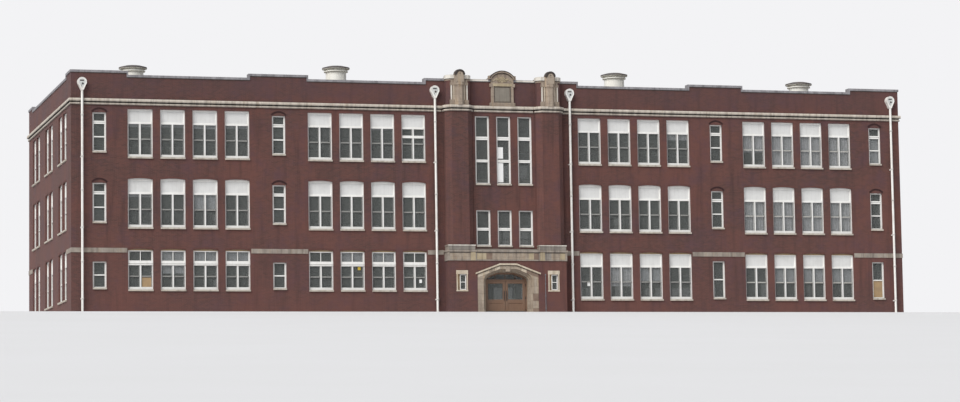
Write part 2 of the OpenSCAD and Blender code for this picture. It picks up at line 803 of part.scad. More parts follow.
// Segmental brick arches over the narrow windows of the upper storeys
module narrow_arch() {
    r = (pow(narrow_w / 2, 2) + pow(narrow_rise, 2)) / (2 * narrow_rise);
    translate([narrow_w / 2, 0, $narrow_h]) upright(-arch_brick_out, 0) intersection() {
        translate([0, narrow_rise - r]) difference() {
            circle(r + arch_brick_h, $fn = 96);
            circle(r, $fn = 96);
        }
        translate([-narrow_w, 0]) square([2 * narrow_w, narrow_w]);
    }
}

module narrow_arches() color("#5d3830") placed() both_sides() {
    at_narrow([1, 2]) narrow_arch();
    on_back() at_narrow([1, 2]) narrow_arch();
}

// Sills
module sill(w) block(0, w, -sill_out, reveal + frame_d, 0, sill_h);

module window_sills() color("#a2958a") placed() {
    both_wings() {
        at_wide(wing_xs) sill(window_w);
        at_narrow() sill(narrow_w);
    }
    both_sides() on_back() {
        at_wide(concat(wing_xs, middle_xs)) sill(window_w);
        at_narrow() sill(narrow_w);
    }
    on_ends() at_wide(end_xs) sill(window_w);
    translate([0, -bay_out, 0]) for (x = bay_xs) {
        translate([x, 0, tall_foot]) sill(bay_window_w);
        translate([x, 0, low_foot]) sill(bay_window_w);
    }
}

// Window frames: a deep box with shallower bars in front of the glass. A wide window is $wide_h high.
function glazed_h() = $wide_h - sill_h - panel_h;
sash_xs = [
    [frame_w + sash_w, (window_w - mullion_w) / 2 - sash_w],
    [(window_w + mullion_w) / 2 + sash_w, window_w - frame_w - sash_w]
];

// Four panes from the sill up to the given height, in two pairs of sashes
module sash_panes(head) {
    foot = sill_h + frame_w;
    meeting = foot + (head - foot) * meeting_share - rail_w / 2;
    for (x = sash_xs) {
        hole(x[0], x[1], foot + sash_w, meeting);
        hole(x[0], x[1], meeting + rail_w, head - sash_w);
    }
}

module wide_bars() difference() {
    outline(window_w, sill_h, $wide_h);
    hole(frame_w, window_w - frame_w, sill_h + glazed_h() + rail_w, $wide_h - frame_w);
    sash_panes(sill_h + glazed_h());
}

// Bars of a window with a pair of top lights over a transom
function light_foot() = $wide_h - frame_w - top_light_h;

module lit_bars() difference() {
    outline(window_w, sill_h, $wide_h);
    hole(frame_w + sash_w, (window_w - light_bar_w) / 2, light_foot(), $wide_h - frame_w - sash_w);
    hole((window_w + light_bar_w) / 2, window_w - frame_w - sash_w, light_foot(), $wide_h - frame_w - sash_w);
    sash_panes(light_foot() - transom_h);
}

module box_frame(w, foot, head) difference() {
    outline(w, foot, head);
    hole(frame_w, w - frame_w, foot + frame_w, head - frame_w);
}

module wide_frame() {
    upright(reveal, reveal + bar_d) wide_bars();
    upright(reveal + bar_d, reveal + frame_d) box_frame(window_w, sill_h, $wide_h);
}

module lit_frame() {
    upright(reveal, reveal + bar_d) lit_bars();
    upright(reveal + bar_d, reveal + frame_d) box_frame(window_w, sill_h, $wide_h);
    block(0, window_w, reveal - transom_out, reveal, light_foot() - transom_h, light_foot());
}

module wide_glass() block(frame_w, window_w - frame_w, reveal + bar_d, reveal + bar_d + glass_t,
    sill_h + frame_w, sill_h + glazed_h());

module lit_glass() block(frame_w, window_w - frame_w, reveal + bar_d, reveal + bar_d + glass_t,
    sill_h + frame_w, $wide_h - frame_w);

module wide_panel() block(frame_w, window_w - frame_w, reveal + bar_d, reveal + bar_d + board_t,
    sill_h + glazed_h() + rail_w / 2, $wide_h - frame_w);

// A tall light with cross bars at the given shares of its height
module barred(w, h, shares) difference() {
    hole(0, w, sill_h, h);
    edges = concat([sill_h + frame_w - rail_w / 2], [for (s = shares) h * s],
        [h - frame_w + rail_w / 2]);
    for (i = [0 : len(edges) - 2])
        hole(frame_w + sash_w, w - frame_w - sash_w, edges[i] + rail_w / 2, edges[i + 1] - rail_w / 2);
}

module barred_frame(w, h, shares) {
    upright(reveal, reveal + bar_d) barred(w, h, shares);
    upright(reveal + bar_d, reveal + frame_d) box_frame(w, sill_h, h);
}

module barred_glass(w, h) block(frame_w, w - frame_w, reveal + bar_d, reveal + bar_d + glass_t,
    sill_h + frame_w, h - frame_w);

module narrow_frames() {
    at_narrow([0]) barred_frame(narrow_w, $narrow_h, ground_bar_shares);
    at_narrow([1, 2]) barred_frame(narrow_w, $narrow_h, narrow_bar_shares);
}

module front_frames() color("#dcdad4") placed() {
    both_wings() {
        at_wide(wing_xs, [1, 2]) wide_frame();
        narrow_frames();
    }
    at_wide(wing_xs, [0]) wide_frame();
    left_wing() at_wide(wing_xs, [0]) lit_frame();
}

module bay_frames() color("#dcdad4") placed() translate([0, -bay_out, 0]) for (x = bay_xs) {
    translate([x, 0, tall_foot]) barred_frame(bay_window_w, tall_h, tall_bar_shares);
    translate([x, 0, low_foot]) barred_frame(bay_window_w, low_h, low_bar_shares);
}

module back_frames() color("#dcdad4") placed() both_sides() on_back() {
    at_wide(concat(wing_xs, middle_xs)) wide_frame();
    narrow_frames();
}

module end_frames() color("#dcdad4") placed() on_ends() at_wide(end_xs) wide_frame();

module front_glass() color("#5d6361") placed() {
    at_wide(wing_xs, [0]) wide_glass();
    left_wing() at_wide(wing_xs, [0]) lit_glass();
    both_wings() {
        at_wide(wing_xs, [1, 2]) wide_glass();
        at_narrow() barred_glass(narrow_w, $narrow_h);
    }
    both_sides() block(side_x, side_x + side_w, reveal - base_out, reveal - base_out + glass_t,
        side_foot, side_foot + side_h);
    translate([0, -bay_out, 0]) for (x = bay_xs) {
        translate([x, 0, tall_foot]) barred_glass(bay_window_w, tall_h);
        translate([x, 0, low_foot]) barred_glass(bay_window_w, low_h);
    }
}

module back_glass() color("#5d6361") placed() both_sides() on_back() {
    at_wide(concat(wing_xs, middle_xs)) wide_glass();
    at_narrow() barred_glass(narrow_w, $narrow_h);
}

module end_glass() color("#5d6361") placed() on_ends() at_wide(end_xs) wide_glass();

module window_panels() color("#e8e6e0") placed() {
    at_wide(wing_xs, [0]) wide_panel();
    both_sides() {
        at_wide(wing_xs, [1, 2]) wide_panel();
        on_back() at_wide(concat(wing_xs, middle_xs)) wide_panel();
    }
    on_ends() at_wide(end_xs) wide_panel();
}

// Rainwater head, pipe and clips; the pipe passes in front of the cornice
module rain_head() {
    r = head_w / 2;
    round_z = head_foot + head_h - r;
    difference() {
        upright(-head_d, 0) {
            translate([0, round_z]) circle(r);
            polygon([
                [-r * cos(head_taper), round_z - r * sin(head_taper)],
                [r * cos(head_taper), round_z - r * sin(head_taper)],
                [spout_d / 2, head_foot], [-spout_d / 2, head_foot]
            ]);
        }
        block(-slot_w / 2, slot_w / 2, -head_d - overrun, slot_d - head_d,
            round_z + slot_h, round_z + 2 * slot_h);
        translate([slot_h / 2, slot_d - head_d, round_z - slot_h]) rotate([90, 0, 0])
            cylinder(h = slot_d + overrun, d = hole_d);
    }
}

module spout() {
    rain_head();
    difference() {
        translate([0, -spout_y, 0]) cylinder(h = head_foot, d = spout_d);
        translate([0, -spout_y, -overrun])
            cylinder(h = head_foot / 2, d = spout_d - 2 * spout_wall);
    }
    for (level = levels) difference() {
        block(-clip_w / 2, clip_w / 2, -spout_y, 0, level_z(level), level_z(level) + clip_h);
        translate([0, -spout_y, 0]) cylinder(h = high_top, d = spout_d - 2 * spout_wall);
    }
}

module downspouts() color("#e4e2dc") placed() both_sides()
    for (x = [spout_x, spout_end]) translate([x, 0, 0]) spout();

// Doorway joinery
module door_frame() color("#8a6f5c") placed() difference() {
    upright(frame_y, frame_y + frame_d) polygon(arch_points(0, floor_rise));
    block(door_frame_w - portal_half, portal_half - door_frame_w, frame_y - overrun,
        frame_y + frame_d + overrun, floor_rise - overrun, door_head);
    upright(frame_y - overrun, frame_y + frame_d + overrun) intersection() {
        polygon(arch_points(-door_frame_w, floor_rise));
        hole(-portal_half, portal_half, door_head + bar_h, belt_foot);
    }
}

module fanlight() color("#5d6361") placed() upright(frame_y + bar_d, frame_y + bar_d + glass_t)
    intersection() {
        polygon(arch_points(-door_frame_w, floor_rise));
        hole(-portal_half, portal_half, door_head + bar_h, belt_foot);
    }

// Hinge places up a leaf; each fixed part has two knuckles and the pin, the leaf has the middle one
hinge_zs = [for (s = hinge_shares) floor_rise + leaf_gap + leaf_h * s - hinge_h / 2];
knuckle = hinge_h / 3;

module fixed_hinge() {
    block(-hinge_plate_w, -hinge_r - 1.5 * pin_gap, hinge_r - hinge_plate_t, hinge_r, 0, hinge_h);
    for (z = [0, 2 * knuckle]) translate([0, 0, z]) {
        cylinder(h = knuckle, r = hinge_r);
        block(-hinge_r - 2 * pin_gap, 0, hinge_r - hinge_plate_t, hinge_r, 0, knuckle);
    }
    cylinder(h = hinge_h, r = pin_r);
}

module door_hinges() color("#4a4a48") placed() both_sides()
    for (z = hinge_zs) translate([-hinge_x, hinge_y, z]) fixed_hinge();

module leaf_hinge() translate([0, 0, knuckle + pin_gap]) difference() {
    union() {
        cylinder(h = knuckle - 2 * pin_gap, r = hinge_r);
        block(0, hinge_plate_w, hinge_r - hinge_plate_t, hinge_r, 0, knuckle - 2 * pin_gap);
        block(leaf_gap / 2, hinge_plate_w, hinge_r - hinge_plate_t, hinge_r + leaf_gap, 0,
            knuckle - 2 * pin_gap);
    }
    translate([0, 0, -overrun]) cylinder(h = hinge_h, r = pin_r + pin_gap);
}

// A leaf from its hinge stile at x = 0, glazed over the lock rail and panelled under it
module leaf() {
    difference() {
        block(0, leaf_w, 0, leaf_t, 0, leaf_h);
        block(stile_w, leaf_w - stile_w, -overrun, leaf_t + overrun,
            lock_rail_z + lock_rail_h, leaf_h - stile_w);
        block(stile_w, leaf_w - stile_w, -overrun, panel_cut, bottom_rail_h, lock_rail_z);
        block(stile_w, leaf_w - stile_w, leaf_t - panel_cut, leaf_t + overrun, bottom_rail_h, lock_rail_z);
    }
}

leaf_x = -hinge_x + leaf_gap / 2;

module leaf_with_hinges() color("#8a6f5c") placed() {
    translate([leaf_x, leaf_y, floor_rise + leaf_gap]) leaf();
    for (z = hinge_zs) translate([-hinge_x, hinge_y, z]) leaf_hinge();
}

module leaf_glass() color("#5d6361") placed()
    translate([leaf_x + stile_w, leaf_y + (leaf_t - glass_t) / 2, floor_rise + leaf_gap])
        block(0, leaf_w - 2 * stile_w, 0, glass_t, lock_rail_z + lock_rail_h, leaf_h - stile_w);

module left_door() leaf_with_hinges();
module right_door() mirror([1, 0, 0]) leaf_with_hinges();
module left_door_glass() leaf_glass();
module right_door_glass() mirror([1, 0, 0]) leaf_glass();

front_wall_left();
front_wall_right();
bay_wall();
entrance_wall_left();
entrance_wall_right();
entrance_wall_over();
left_turret();
right_turret();
left_wall();
right_wall();
back_wall();
ground_floor();
second_floor();
third_floor();
roof_deck();
roof_vents();
front_cornice();
rear_cornice();
front_coping();
rear_coping();
string_course();
entrance_belt();
portal_surround();
portal_hood();
side_window_stones();
threshold();
turret_caps();
centre_tablet();
narrow_arches();
window_sills();
front_frames();
bay_frames();
back_frames();
end_frames();
front_glass();
back_glass();
end_glass();
window_panels();
downspouts();
door_frame();
fanlight();
door_hinges();
left_door();
right_door();
left_door_glass();
right_door_glass();
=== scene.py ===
import bpy
import json
import math
import random
from mathutils import Matrix, Vector


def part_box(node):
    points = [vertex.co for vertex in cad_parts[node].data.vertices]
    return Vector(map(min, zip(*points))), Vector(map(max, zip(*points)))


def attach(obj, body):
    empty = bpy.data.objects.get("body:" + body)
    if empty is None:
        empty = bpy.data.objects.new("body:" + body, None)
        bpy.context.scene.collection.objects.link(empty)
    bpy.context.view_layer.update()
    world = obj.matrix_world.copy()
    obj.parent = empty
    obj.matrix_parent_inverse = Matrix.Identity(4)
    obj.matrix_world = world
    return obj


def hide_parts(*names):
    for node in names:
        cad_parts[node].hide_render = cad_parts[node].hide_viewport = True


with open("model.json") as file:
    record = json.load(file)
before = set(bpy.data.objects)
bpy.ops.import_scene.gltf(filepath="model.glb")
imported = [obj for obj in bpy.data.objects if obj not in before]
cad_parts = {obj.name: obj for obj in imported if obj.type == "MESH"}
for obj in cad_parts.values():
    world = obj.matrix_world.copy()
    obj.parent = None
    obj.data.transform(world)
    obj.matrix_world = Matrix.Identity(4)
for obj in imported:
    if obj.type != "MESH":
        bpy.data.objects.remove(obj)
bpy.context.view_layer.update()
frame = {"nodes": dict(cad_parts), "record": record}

print("stage: CAD frame loaded")

# Metres in the row's frame. The places follow the part's source.
building = {
    "front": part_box("front_wall_left")[0].y,
    "back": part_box("back_wall")[1].y,
    "end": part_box("right_wall")[1].x,
    "bayOut": 0.125,
    "turretMiddle": 1.37,
    "topOut": 0.275,        # the turrets' tops step back
    "baseOut": 0.36,
    "wall": 0.2,
    "storey": 1.978,
    "windowFoot": 0.455,
    "groupStarts": (2.3125, 7.4745),
    "groupCount": 4,
    "pitch": 0.92,
    "windowWidth": 0.71,
    "windowHeight": 1.395,
    "narrowStarts": (6.4335, 11.5435),
    "narrowWidth": 0.39,
    "narrowLift": 0.145,
    "narrowHeight": 1.135,
    "leftRise": 0.235,      # the left wing's ground windows begin higher
    "bayMiddle": 0.025,     # bay's parapet before the wings' face
    "bayStarts": (-0.8595, -0.2175, 0.4245),
    "bayWidth": 0.435,
    "tallFoot": 3.78,
    "glassFront": 0.085,    # front of the panes, behind the wall's face
    "glassBack": 0.095,
    "frameFront": 0.055,
    "frameEdge": 0.03,
    "endMargin": 0.91,      # brick between an end's corner and its first window
    "deck": 6.348,
    "lowTop": 6.765,
    "highTop": 6.880,
    "capsDark": 6.965,      # the turrets' caps are sooty from here up
}
b = building
chance = random.Random(403)


# Meshes

mouldingSlope = 0.6         # share of its depth that a moulding's face slopes back


class Shape:
    def __init__(self):
        self.points = []
        self.faces = []

    def add(self, points, faces):
        start = len(self.points)
        self.points += [tuple(p) for p in points]
        self.faces += [tuple(start + i for i in face) for face in faces]


def skin(shape, rings, closed=False):
    # each ring runs anticlockwise as seen from the rings that follow it
    count = len(rings)
    steps = len(rings[0])
    faces = []
    for row in range(count if closed else count - 1):
        above = (row + 1) % count
        for i in range(steps):
            j = (i + 1) % steps
            faces.append((row * steps + i, row * steps + j, above * steps + j, above * steps + i))
    if not closed:
        faces.append(tuple(range(steps - 1, -1, -1)))
        faces.append(tuple(range((count - 1) * steps, count * steps)))
    shape.add([point for ring in rings for point in ring], faces)


def circle(radius, steps):
    turns = [math.tau * i / steps for i in range(steps)]
    return [(radius * math.cos(turn), radius * math.sin(turn)) for turn in turns]


def addBlock(shape, x0, x1, y0, y1, z0, z1):
    skin(shape, [[(x0, y0, z), (x1, y0, z), (x1, y1, z), (x0, y1, z)] for z in (z0, z1)])


def addTurned(shape, centre, profile, steps):
    # profile lists radius and height from the foot up; the ends are closed
    x, y, z = centre
    skin(shape, [[(x + u, y + v, z + up) for u, v in circle(radius, steps)] for radius, up in profile])


def addBoss(shape, x, z, y, profile, steps):
    # a round boss facing the front; profile lists radius and how far it stands out
    skin(shape, [[(x + u, y - out, z + v) for u, v in circle(radius, steps)] for radius, out in profile])


def addTube(shape, path, radius, sides=8, closed=False):
    # radius is one number, or one for each point
    count = len(path)
    radii = radius if isinstance(radius, list) else [radius] * count
    path = [Vector(p) for p in path]
    rings = []
    for i, p in enumerate(path):
        before = path[(i - 1) % count] if closed or i else p
        after = path[(i + 1) % count] if closed or i < count - 1 else p
        ahead = (after - before).normalized()
        aside = ahead.cross(Vector((0, 0, 1)))
        if aside.length < 0.01:         # the tube runs straight up
            aside = ahead.cross(Vector((0, 1, 0)))
        aside.normalize()
        up = aside.cross(ahead)
        rings.append([p + u * aside - v * up for u, v in circle(radii[i], sides)])
    skin(shape, rings, closed)


def addSheet(shape, columns, rows, place):
    # place(u, v) gives the point at shares u and v; the sheet has one face
    points = [place(i / columns, j / rows) for j in range(rows + 1) for i in range(columns + 1)]
    faces = []
    for j in range(rows):
        for i in range(columns):
            k = j * (columns + 1) + i
            faces.append((k, k + 1, k + columns + 2, k + columns + 1))
    shape.add(points, faces)


def addFront(shape, x0, x1, near, far, z0, z1):
    # near and far say how far a block's faces stand before the wings' face
    addBlock(shape, x0, x1, b["front"] - near, b["front"] - far, z0, z1)


def addPair(shape, x0, x1, near, far, z0, z1):
    # the same block on both sides of the building's middle
    for side in (-1, 1):
        left, right = sorted((side * x0, side * x1))
        addFront(shape, left, right, near, far, z0, z1)


def addFrontPrism(shape, outline, near, far):
    # outline runs anticlockwise in X and Z as seen from the front
    skin(shape, [[(x, b["front"] - out, z) for x, z in outline] for out in (far, near)])


def addArc(shape, middle, foot, inner, outer, near, far, start=0.0, end=math.pi, steps=24):
    # part of an upright ring facing the front; angles run anticlockwise from the right
    rings = []
    for i in range(steps + 1):
        angle = start + (end - start) * i / steps
        rings.append([(middle + radius * math.cos(angle), b["front"] - out, foot + radius * math.sin(angle))
                      for radius, out in ((inner, near), (outer, near), (outer, far), (inner, far))])
    skin(shape, rings)


def addBorder(shape, x0, x1, z0, z1, width, near, far):
    # four mitred lengths of moulding round a panel, sloping back to its inner edge
    low = near - (near - far) * mouldingSlope
    points = []
    for inset, out in ((0.0, near), (width, low), (0.0, far), (width, far)):
        left, right, foot, head = x0 + inset, x1 - inset, z0 + inset, z1 - inset
        corners = ((left, foot), (right, foot), (right, head), (left, head))
        points += [(x, b["front"] - out, z) for x, z in corners]
    faces = []
    for i in range(4):
        j = (i + 1) % 4
        faces += [(i, j, 4 + j, 4 + i), (8 + j, 8 + i, 12 + i, 12 + j), (j, i, 8 + i, 8 + j),
                  (4 + i, 4 + j, 12 + j, 12 + i)]
    shape.add(points, faces)


def arcRadius(half, rise):
    return (half ** 2 + rise ** 2) / (2 * rise)


def arcHeight(half, rise, x):
    # height of a flat arch over its springing, x from its middle
    radius = arcRadius(half, rise)
    return math.sqrt(max(0.0, radius ** 2 - x ** 2)) - radius + rise


def piece(name, shape, material, body="building", bevel=0.0, smooth=False):
    mesh = bpy.data.meshes.new(name)
    mesh.from_pydata(shape.points, [], shape.faces)
    mesh.validate()
    mesh.update()
    obj = bpy.data.objects.new(name, mesh)
    bpy.context.scene.collection.objects.link(obj)
    mesh.materials.append(material)
    if smooth:
        mesh.polygons.foreach_set("use_smooth", [True] * len(mesh.polygons))
    if bevel:
        edge = obj.modifiers.new("softEdges", "BEVEL")
        edge.width = bevel
        edge.segments = 1
        edge.limit_method = "ANGLE"
    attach(obj, body)
    return obj


# Materials

def srgb(red, green, blue):
    def linear(value):
        value = value / 255
        return value / 12.92 if value <= 0.04045 else ((value + 0.055) / 1.055) ** 2.4
    return (linear(red), linear(green), linear(blue), 1)


def newTree(name):
    material = bpy.data.materials.new(name)
    material.use_nodes = True
    material.node_tree.nodes.clear()
    return material, material.node_tree


def put(tree, kind, inputs=None, **settings):
    made = tree.nodes.new(kind)
    for key, value in settings.items():
        setattr(made, key, value)
    for key, value in (inputs or {}).items():
        if isinstance(value, bpy.types.NodeSocket):
            tree.links.new(value, made.inputs[key])
        else:
            made.inputs[key].default_value = value
    return made


def math2(tree, operation, first, second=0.0):
    return put(tree, "ShaderNodeMath", {0: first, 1: second}, operation=operation).outputs[0]


def blendColours(tree, share, first, second, mode="MIX"):
    mix = put(tree, "ShaderNodeMix", {0: share, 6: first, 7: second}, data_type="RGBA", blend_type=mode)
    return mix.outputs[2]


def noise(tree, coords, scale, detail=4.0, roughness=0.55):
    made = put(tree, "ShaderNodeTexNoise",
               {"Vector": coords, "Scale": scale, "Detail": detail, "Roughness": roughness})
    return made.outputs[0]


def spread(tree, value, low, high, start, end):
    # from low to high the value gives start to end
    return put(tree, "ShaderNodeMapRange", {0: value, 1: low, 2: high, 3: start, 4: end}).outputs[0]


def stretched(tree, coords, scale):
    return put(tree, "ShaderNodeMapping", {"Vector": coords, "Scale": scale}).outputs[0]


def faceCoords(tree):
    # along the face and up it, so that courses run level on walls at any angle
    place = put(tree, "ShaderNodeTexCoord")
    facing = put(tree, "ShaderNodeSeparateXYZ", {0: place.outputs["Normal"]})
    where = put(tree, "ShaderNodeSeparateXYZ", {0: place.outputs["Object"]})
    turned = math2(tree, "MULTIPLY", facing.outputs["Y"], -1.0)
    along = put(tree, "ShaderNodeCombineXYZ", {0: turned, 1: facing.outputs["X"]})
    run = put(tree, "ShaderNodeVectorMath", {0: place.outputs["Object"], 1: along.outputs[0]},
              operation="DOT_PRODUCT")
    level = math2(tree, "GREATER_THAN", math2(tree, "ABSOLUTE", facing.outputs["Z"]), 0.7)
    u = put(tree, "ShaderNodeMix", {0: level, 2: run.outputs["Value"], 3: where.outputs["X"]})
    v = put(tree, "ShaderNodeMix", {0: level, 2: where.outputs["Z"], 3: where.outputs["Y"]})
    flat = put(tree, "ShaderNodeCombineXYZ", {0: u.outputs[0], 1: v.outputs[0]})
    return {"place": place.outputs["Object"], "flat": flat.outputs[0], "facing": facing.outputs["Z"],
            "height": where.outputs["Z"]}


def newFinish(name):
    material, tree = newTree(name)
    return material, tree, faceCoords(tree)


def close(tree, colour, roughness, height, distance, metallic=0.0, strength=0.6):
    # height is the relief, distance how far it stands out in metres
    bump = put(tree, "ShaderNodeBump", {"Strength": strength, "Distance": distance, "Height": height})
    shader = put(tree, "ShaderNodeBsdfPrincipled",
                 {"Base Color": colour, "Roughness": roughness, "Metallic": metallic,
                  "Normal": bump.outputs[0]})
    out = put(tree, "ShaderNodeOutputMaterial")
    tree.links.new(shader.outputs[0], out.inputs["Surface"])


brickSizes = {
    "length": 0.1065, "course": 0.0339, "joint": 0.0024,
    "face": srgb(90, 55, 49), "dark": srgb(66, 42, 39), "mortar": srgb(101, 84, 78),
    "worn": srgb(110, 70, 62), "violet": srgb(82, 58, 66), "darkening": srgb(56, 39, 38),
    "damp": srgb(108, 74, 70), "dampTop": 3.2,
    "parapet": srgb(78, 56, 57), "parapetFoot": (6.1, 6.3),
}


def brickMaterial(name="brickwork"):
    material, tree, at = newFinish(name)
    bricks = put(tree, "ShaderNodeTexBrick",
                 {"Vector": at["flat"], "Color1": brickSizes["face"], "Color2": brickSizes["dark"],
                  "Mortar": brickSizes["mortar"], "Scale": 1.0, "Mortar Size": brickSizes["joint"],
                  "Mortar Smooth": 0.2, "Bias": -0.15, "Brick Width": brickSizes["length"],
                  "Row Height": brickSizes["course"]})
    patches = noise(tree, at["place"], 0.55, 5.0, 0.6)
    streaks = noise(tree, stretched(tree, at["flat"], (5.0, 0.45, 1.0)), 1.0, 4.0, 0.6)
    faceGrain = noise(tree, at["place"], 160.0, 3.0)
    worn = blendColours(tree, spread(tree, patches, 0.4, 0.62, 0.0, 0.6), bricks.outputs["Color"],
                        brickSizes["worn"])
    violet = noise(tree, at["place"], 1.7, 5.0, 0.7)
    worn = blendColours(tree, spread(tree, violet, 0.48, 0.66, 0.0, 0.5), worn, brickSizes["violet"])
    sooty = blendColours(tree, spread(tree, streaks, 0.5, 0.72, 0.0, 0.5), worn, brickSizes["darkening"])
    lower = spread(tree, at["height"], 0.0, brickSizes["dampTop"], 0.22, 0.0)
    damp = blendColours(tree, lower, sooty, brickSizes["damp"])
    upper = spread(tree, at["height"], *brickSizes["parapetFoot"], 0.0, 0.3)
    parapet = blendColours(tree, upper, damp, brickSizes["parapet"])
    grey = put(tree, "ShaderNodeCombineColor", {0: faceGrain, 1: faceGrain, 2: faceGrain}).outputs[0]
    grained = blendColours(tree, 0.35, parapet, grey, "SOFT_LIGHT")
    rough = spread(tree, patches, 0.3, 0.7, 0.82, 0.95)
    relief = math2(tree, "SUBTRACT", math2(tree, "MULTIPLY", faceGrain, 0.25), bricks.outputs["Fac"])
    close(tree, grained, rough, relief, 0.0022)
    return material


def stoneMaterial(name, colour, stain, light, blockLength=0.0, blockHeight=9.0, warm=0.0, darkFrom=0.0,
                  bands=()):
    material, tree, at = newFinish(name)
    mottle = noise(tree, at["place"], 6.0, 6.0, 0.65)
    runs = noise(tree, stretched(tree, at["flat"], (9.0, 0.8, 1.0)), 1.0, 4.0, 0.6)
    grit = noise(tree, at["place"], 210.0, 3.0)
    base = blendColours(tree, spread(tree, mottle, 0.38, 0.66, 0.0, 0.8), colour, light)
    stained = blendColours(tree, spread(tree, runs, 0.48, 0.72, 0.0, 0.75), base, stain)
    if warm:
        rusty = noise(tree, stretched(tree, at["flat"], (14.0, 1.4, 1.0)), 1.0, 3.0)
        stained = blendColours(tree, spread(tree, rusty, 0.52, 0.7, 0.0, warm), stained, srgb(168, 138, 96))
    topDirt = spread(tree, at["facing"], 0.4, 0.9, 0.0, 0.7)
    dirtAndShade = blendColours(tree, topDirt, stained, srgb(96, 92, 84))
    relief = math2(tree, "ADD", math2(tree, "MULTIPLY", mottle, 0.8), math2(tree, "MULTIPLY", grit, 0.35))
    if blockLength:
        blocks = put(tree, "ShaderNodeTexBrick",
                     {"Vector": at["flat"], "Scale": 1.0, "Mortar Size": 0.0028, "Mortar Smooth": 0.3,
                      "Brick Width": blockLength, "Row Height": blockHeight})
        dirtAndShade = blendColours(tree, math2(tree, "MULTIPLY", blocks.outputs["Fac"], 0.8), dirtAndShade,
                             srgb(88, 80, 72))
        relief = math2(tree, "SUBTRACT", relief, blocks.outputs["Fac"])
    if darkFrom:
        weathered = spread(tree, at["height"], darkFrom, darkFrom + 0.02, 0.0, 0.9)
        dirtAndShade = blendColours(tree, weathered, dirtAndShade, srgb(76, 67, 62))
    # each band blends the stone towards its colour between its foot and head; the cornice's bands hold
    # painted shadow and shade, and dirt
    for low, high, share, darkening in bands:
        over = spread(tree, at["height"], low, low + 0.004, 0.0, 1.0)
        under = spread(tree, at["height"], high - 0.006, high, share, 0.0)
        uneven = spread(tree, runs, 0.35, 0.6, 0.75, 1.0)
        mask = math2(tree, "MULTIPLY", math2(tree, "MULTIPLY", over, under), uneven)
        dirtAndShade = blendColours(tree, mask, dirtAndShade, darkening)
    close(tree, dirtAndShade, spread(tree, mottle, 0.3, 0.7, 0.78, 0.94), relief, 0.0022)
    return material


def paintMaterial(name, colour, dirt, amount=0.5, grain=(2.0, 40.0, 1.0), gloss=0.45, boards=0.0):
    material, tree, at = newFinish(name)
    brushed = noise(tree, stretched(tree, at["flat"], grain), 4.0, 4.0)
    grime = noise(tree, at["place"], 3.4, 6.0, 0.65)
    runs = noise(tree, stretched(tree, at["flat"], (16.0, 1.2, 1.0)), 1.0, 4.0, 0.6)
    worn = blendColours(tree, spread(tree, grime, 0.45, 0.75, 0.0, amount), colour, dirt)
    streaked = blendColours(tree, spread(tree, runs, 0.55, 0.8, 0.0, amount), worn, dirt)
    relief = brushed
    if boards:
        gaps = put(tree, "ShaderNodeTexBrick",
                   {"Vector": at["flat"], "Scale": 1.0, "Mortar Size": 0.0012, "Mortar Smooth": 0.4,
                    "Brick Width": boards, "Row Height": 20.0})
        gaps.offset = 0.0
        streaked = blendColours(tree, math2(tree, "MULTIPLY", gaps.outputs["Fac"], 0.45), streaked,
                                srgb(130, 130, 128))
        relief = math2(tree, "SUBTRACT", brushed, gaps.outputs["Fac"])
    close(tree, streaked, spread(tree, brushed, 0.3, 0.7, gloss, gloss + 0.15), relief, 0.0008, strength=0.4)
    return material


def woodMaterial(name, light, dark):
    material, tree, at = newFinish(name)
    rings = put(tree, "ShaderNodeTexWave",
                {"Vector": stretched(tree, at["flat"], (1.0, 0.08, 1.0)), "Scale": 22.0, "Distortion": 7.0,
                 "Detail": 3.0})
    wear = noise(tree, at["place"], 5.0, 5.0)
    grained = blendColours(tree, rings.outputs["Fac"], dark, light)
    dull = blendColours(tree, spread(tree, wear, 0.45, 0.75, 0.0, 0.5), grained, srgb(120, 104, 92))
    close(tree, dull, spread(tree, wear, 0.3, 0.7, 0.4, 0.7), rings.outputs["Fac"], 0.0005)
    return material


def metalMaterial(name, colour, worn, shine=0.4, metallic=0.6):
    material, tree, at = newFinish(name)
    patches = noise(tree, at["place"], 9.0, 6.0, 0.65)
    fine = noise(tree, at["place"], 120.0, 3.0)
    mixed = blendColours(tree, spread(tree, patches, 0.42, 0.7, 0.0, 0.8), colour, worn)
    close(tree, mixed, spread(tree, patches, 0.3, 0.7, shine, shine + 0.25), fine, 0.0005, metallic)
    return material


def glassMaterial(name, tint, clear):
    material, tree, at = newFinish(name)
    waves = noise(tree, at["place"], 2.6, 2.0)
    dust = noise(tree, at["place"], 14.0, 5.0, 0.6)
    tinted = blendColours(tree, spread(tree, dust, 0.4, 0.75, 0.0, 0.35), tint, srgb(126, 128, 122))
    bump = put(tree, "ShaderNodeBump", {"Strength": 0.12, "Distance": 0.01, "Height": waves})
    pane = put(tree, "ShaderNodeBsdfPrincipled",
               {"Base Color": tinted, "Roughness": spread(tree, dust, 0.3, 0.8, 0.04, 0.2),
                "Alpha": spread(tree, dust, 0.3, 0.8, 1.0 - clear, 1.0 - clear + 0.12),
                "Normal": bump.outputs[0]})
    out = put(tree, "ShaderNodeOutputMaterial")
    tree.links.new(pane.outputs[0], out.inputs["Surface"])
    return material


def roofMaterial(name):
    material, tree, at = newFinish(name)
    stones = put(tree, "ShaderNodeTexVoronoi", {"Vector": at["place"], "Scale": 90.0})
    patches = noise(tree, at["place"], 0.5, 5.0, 0.6)
    gravel = blendColours(tree, stones.outputs["Distance"], srgb(112, 108, 102), srgb(150, 146, 138))
    aged = blendColours(tree, spread(tree, patches, 0.4, 0.65, 0.0, 0.6), gravel, srgb(84, 82, 80))
    close(tree, aged, spread(tree, patches, 0.3, 0.7, 0.85, 0.98), stones.outputs["Distance"], 0.004)
    return material


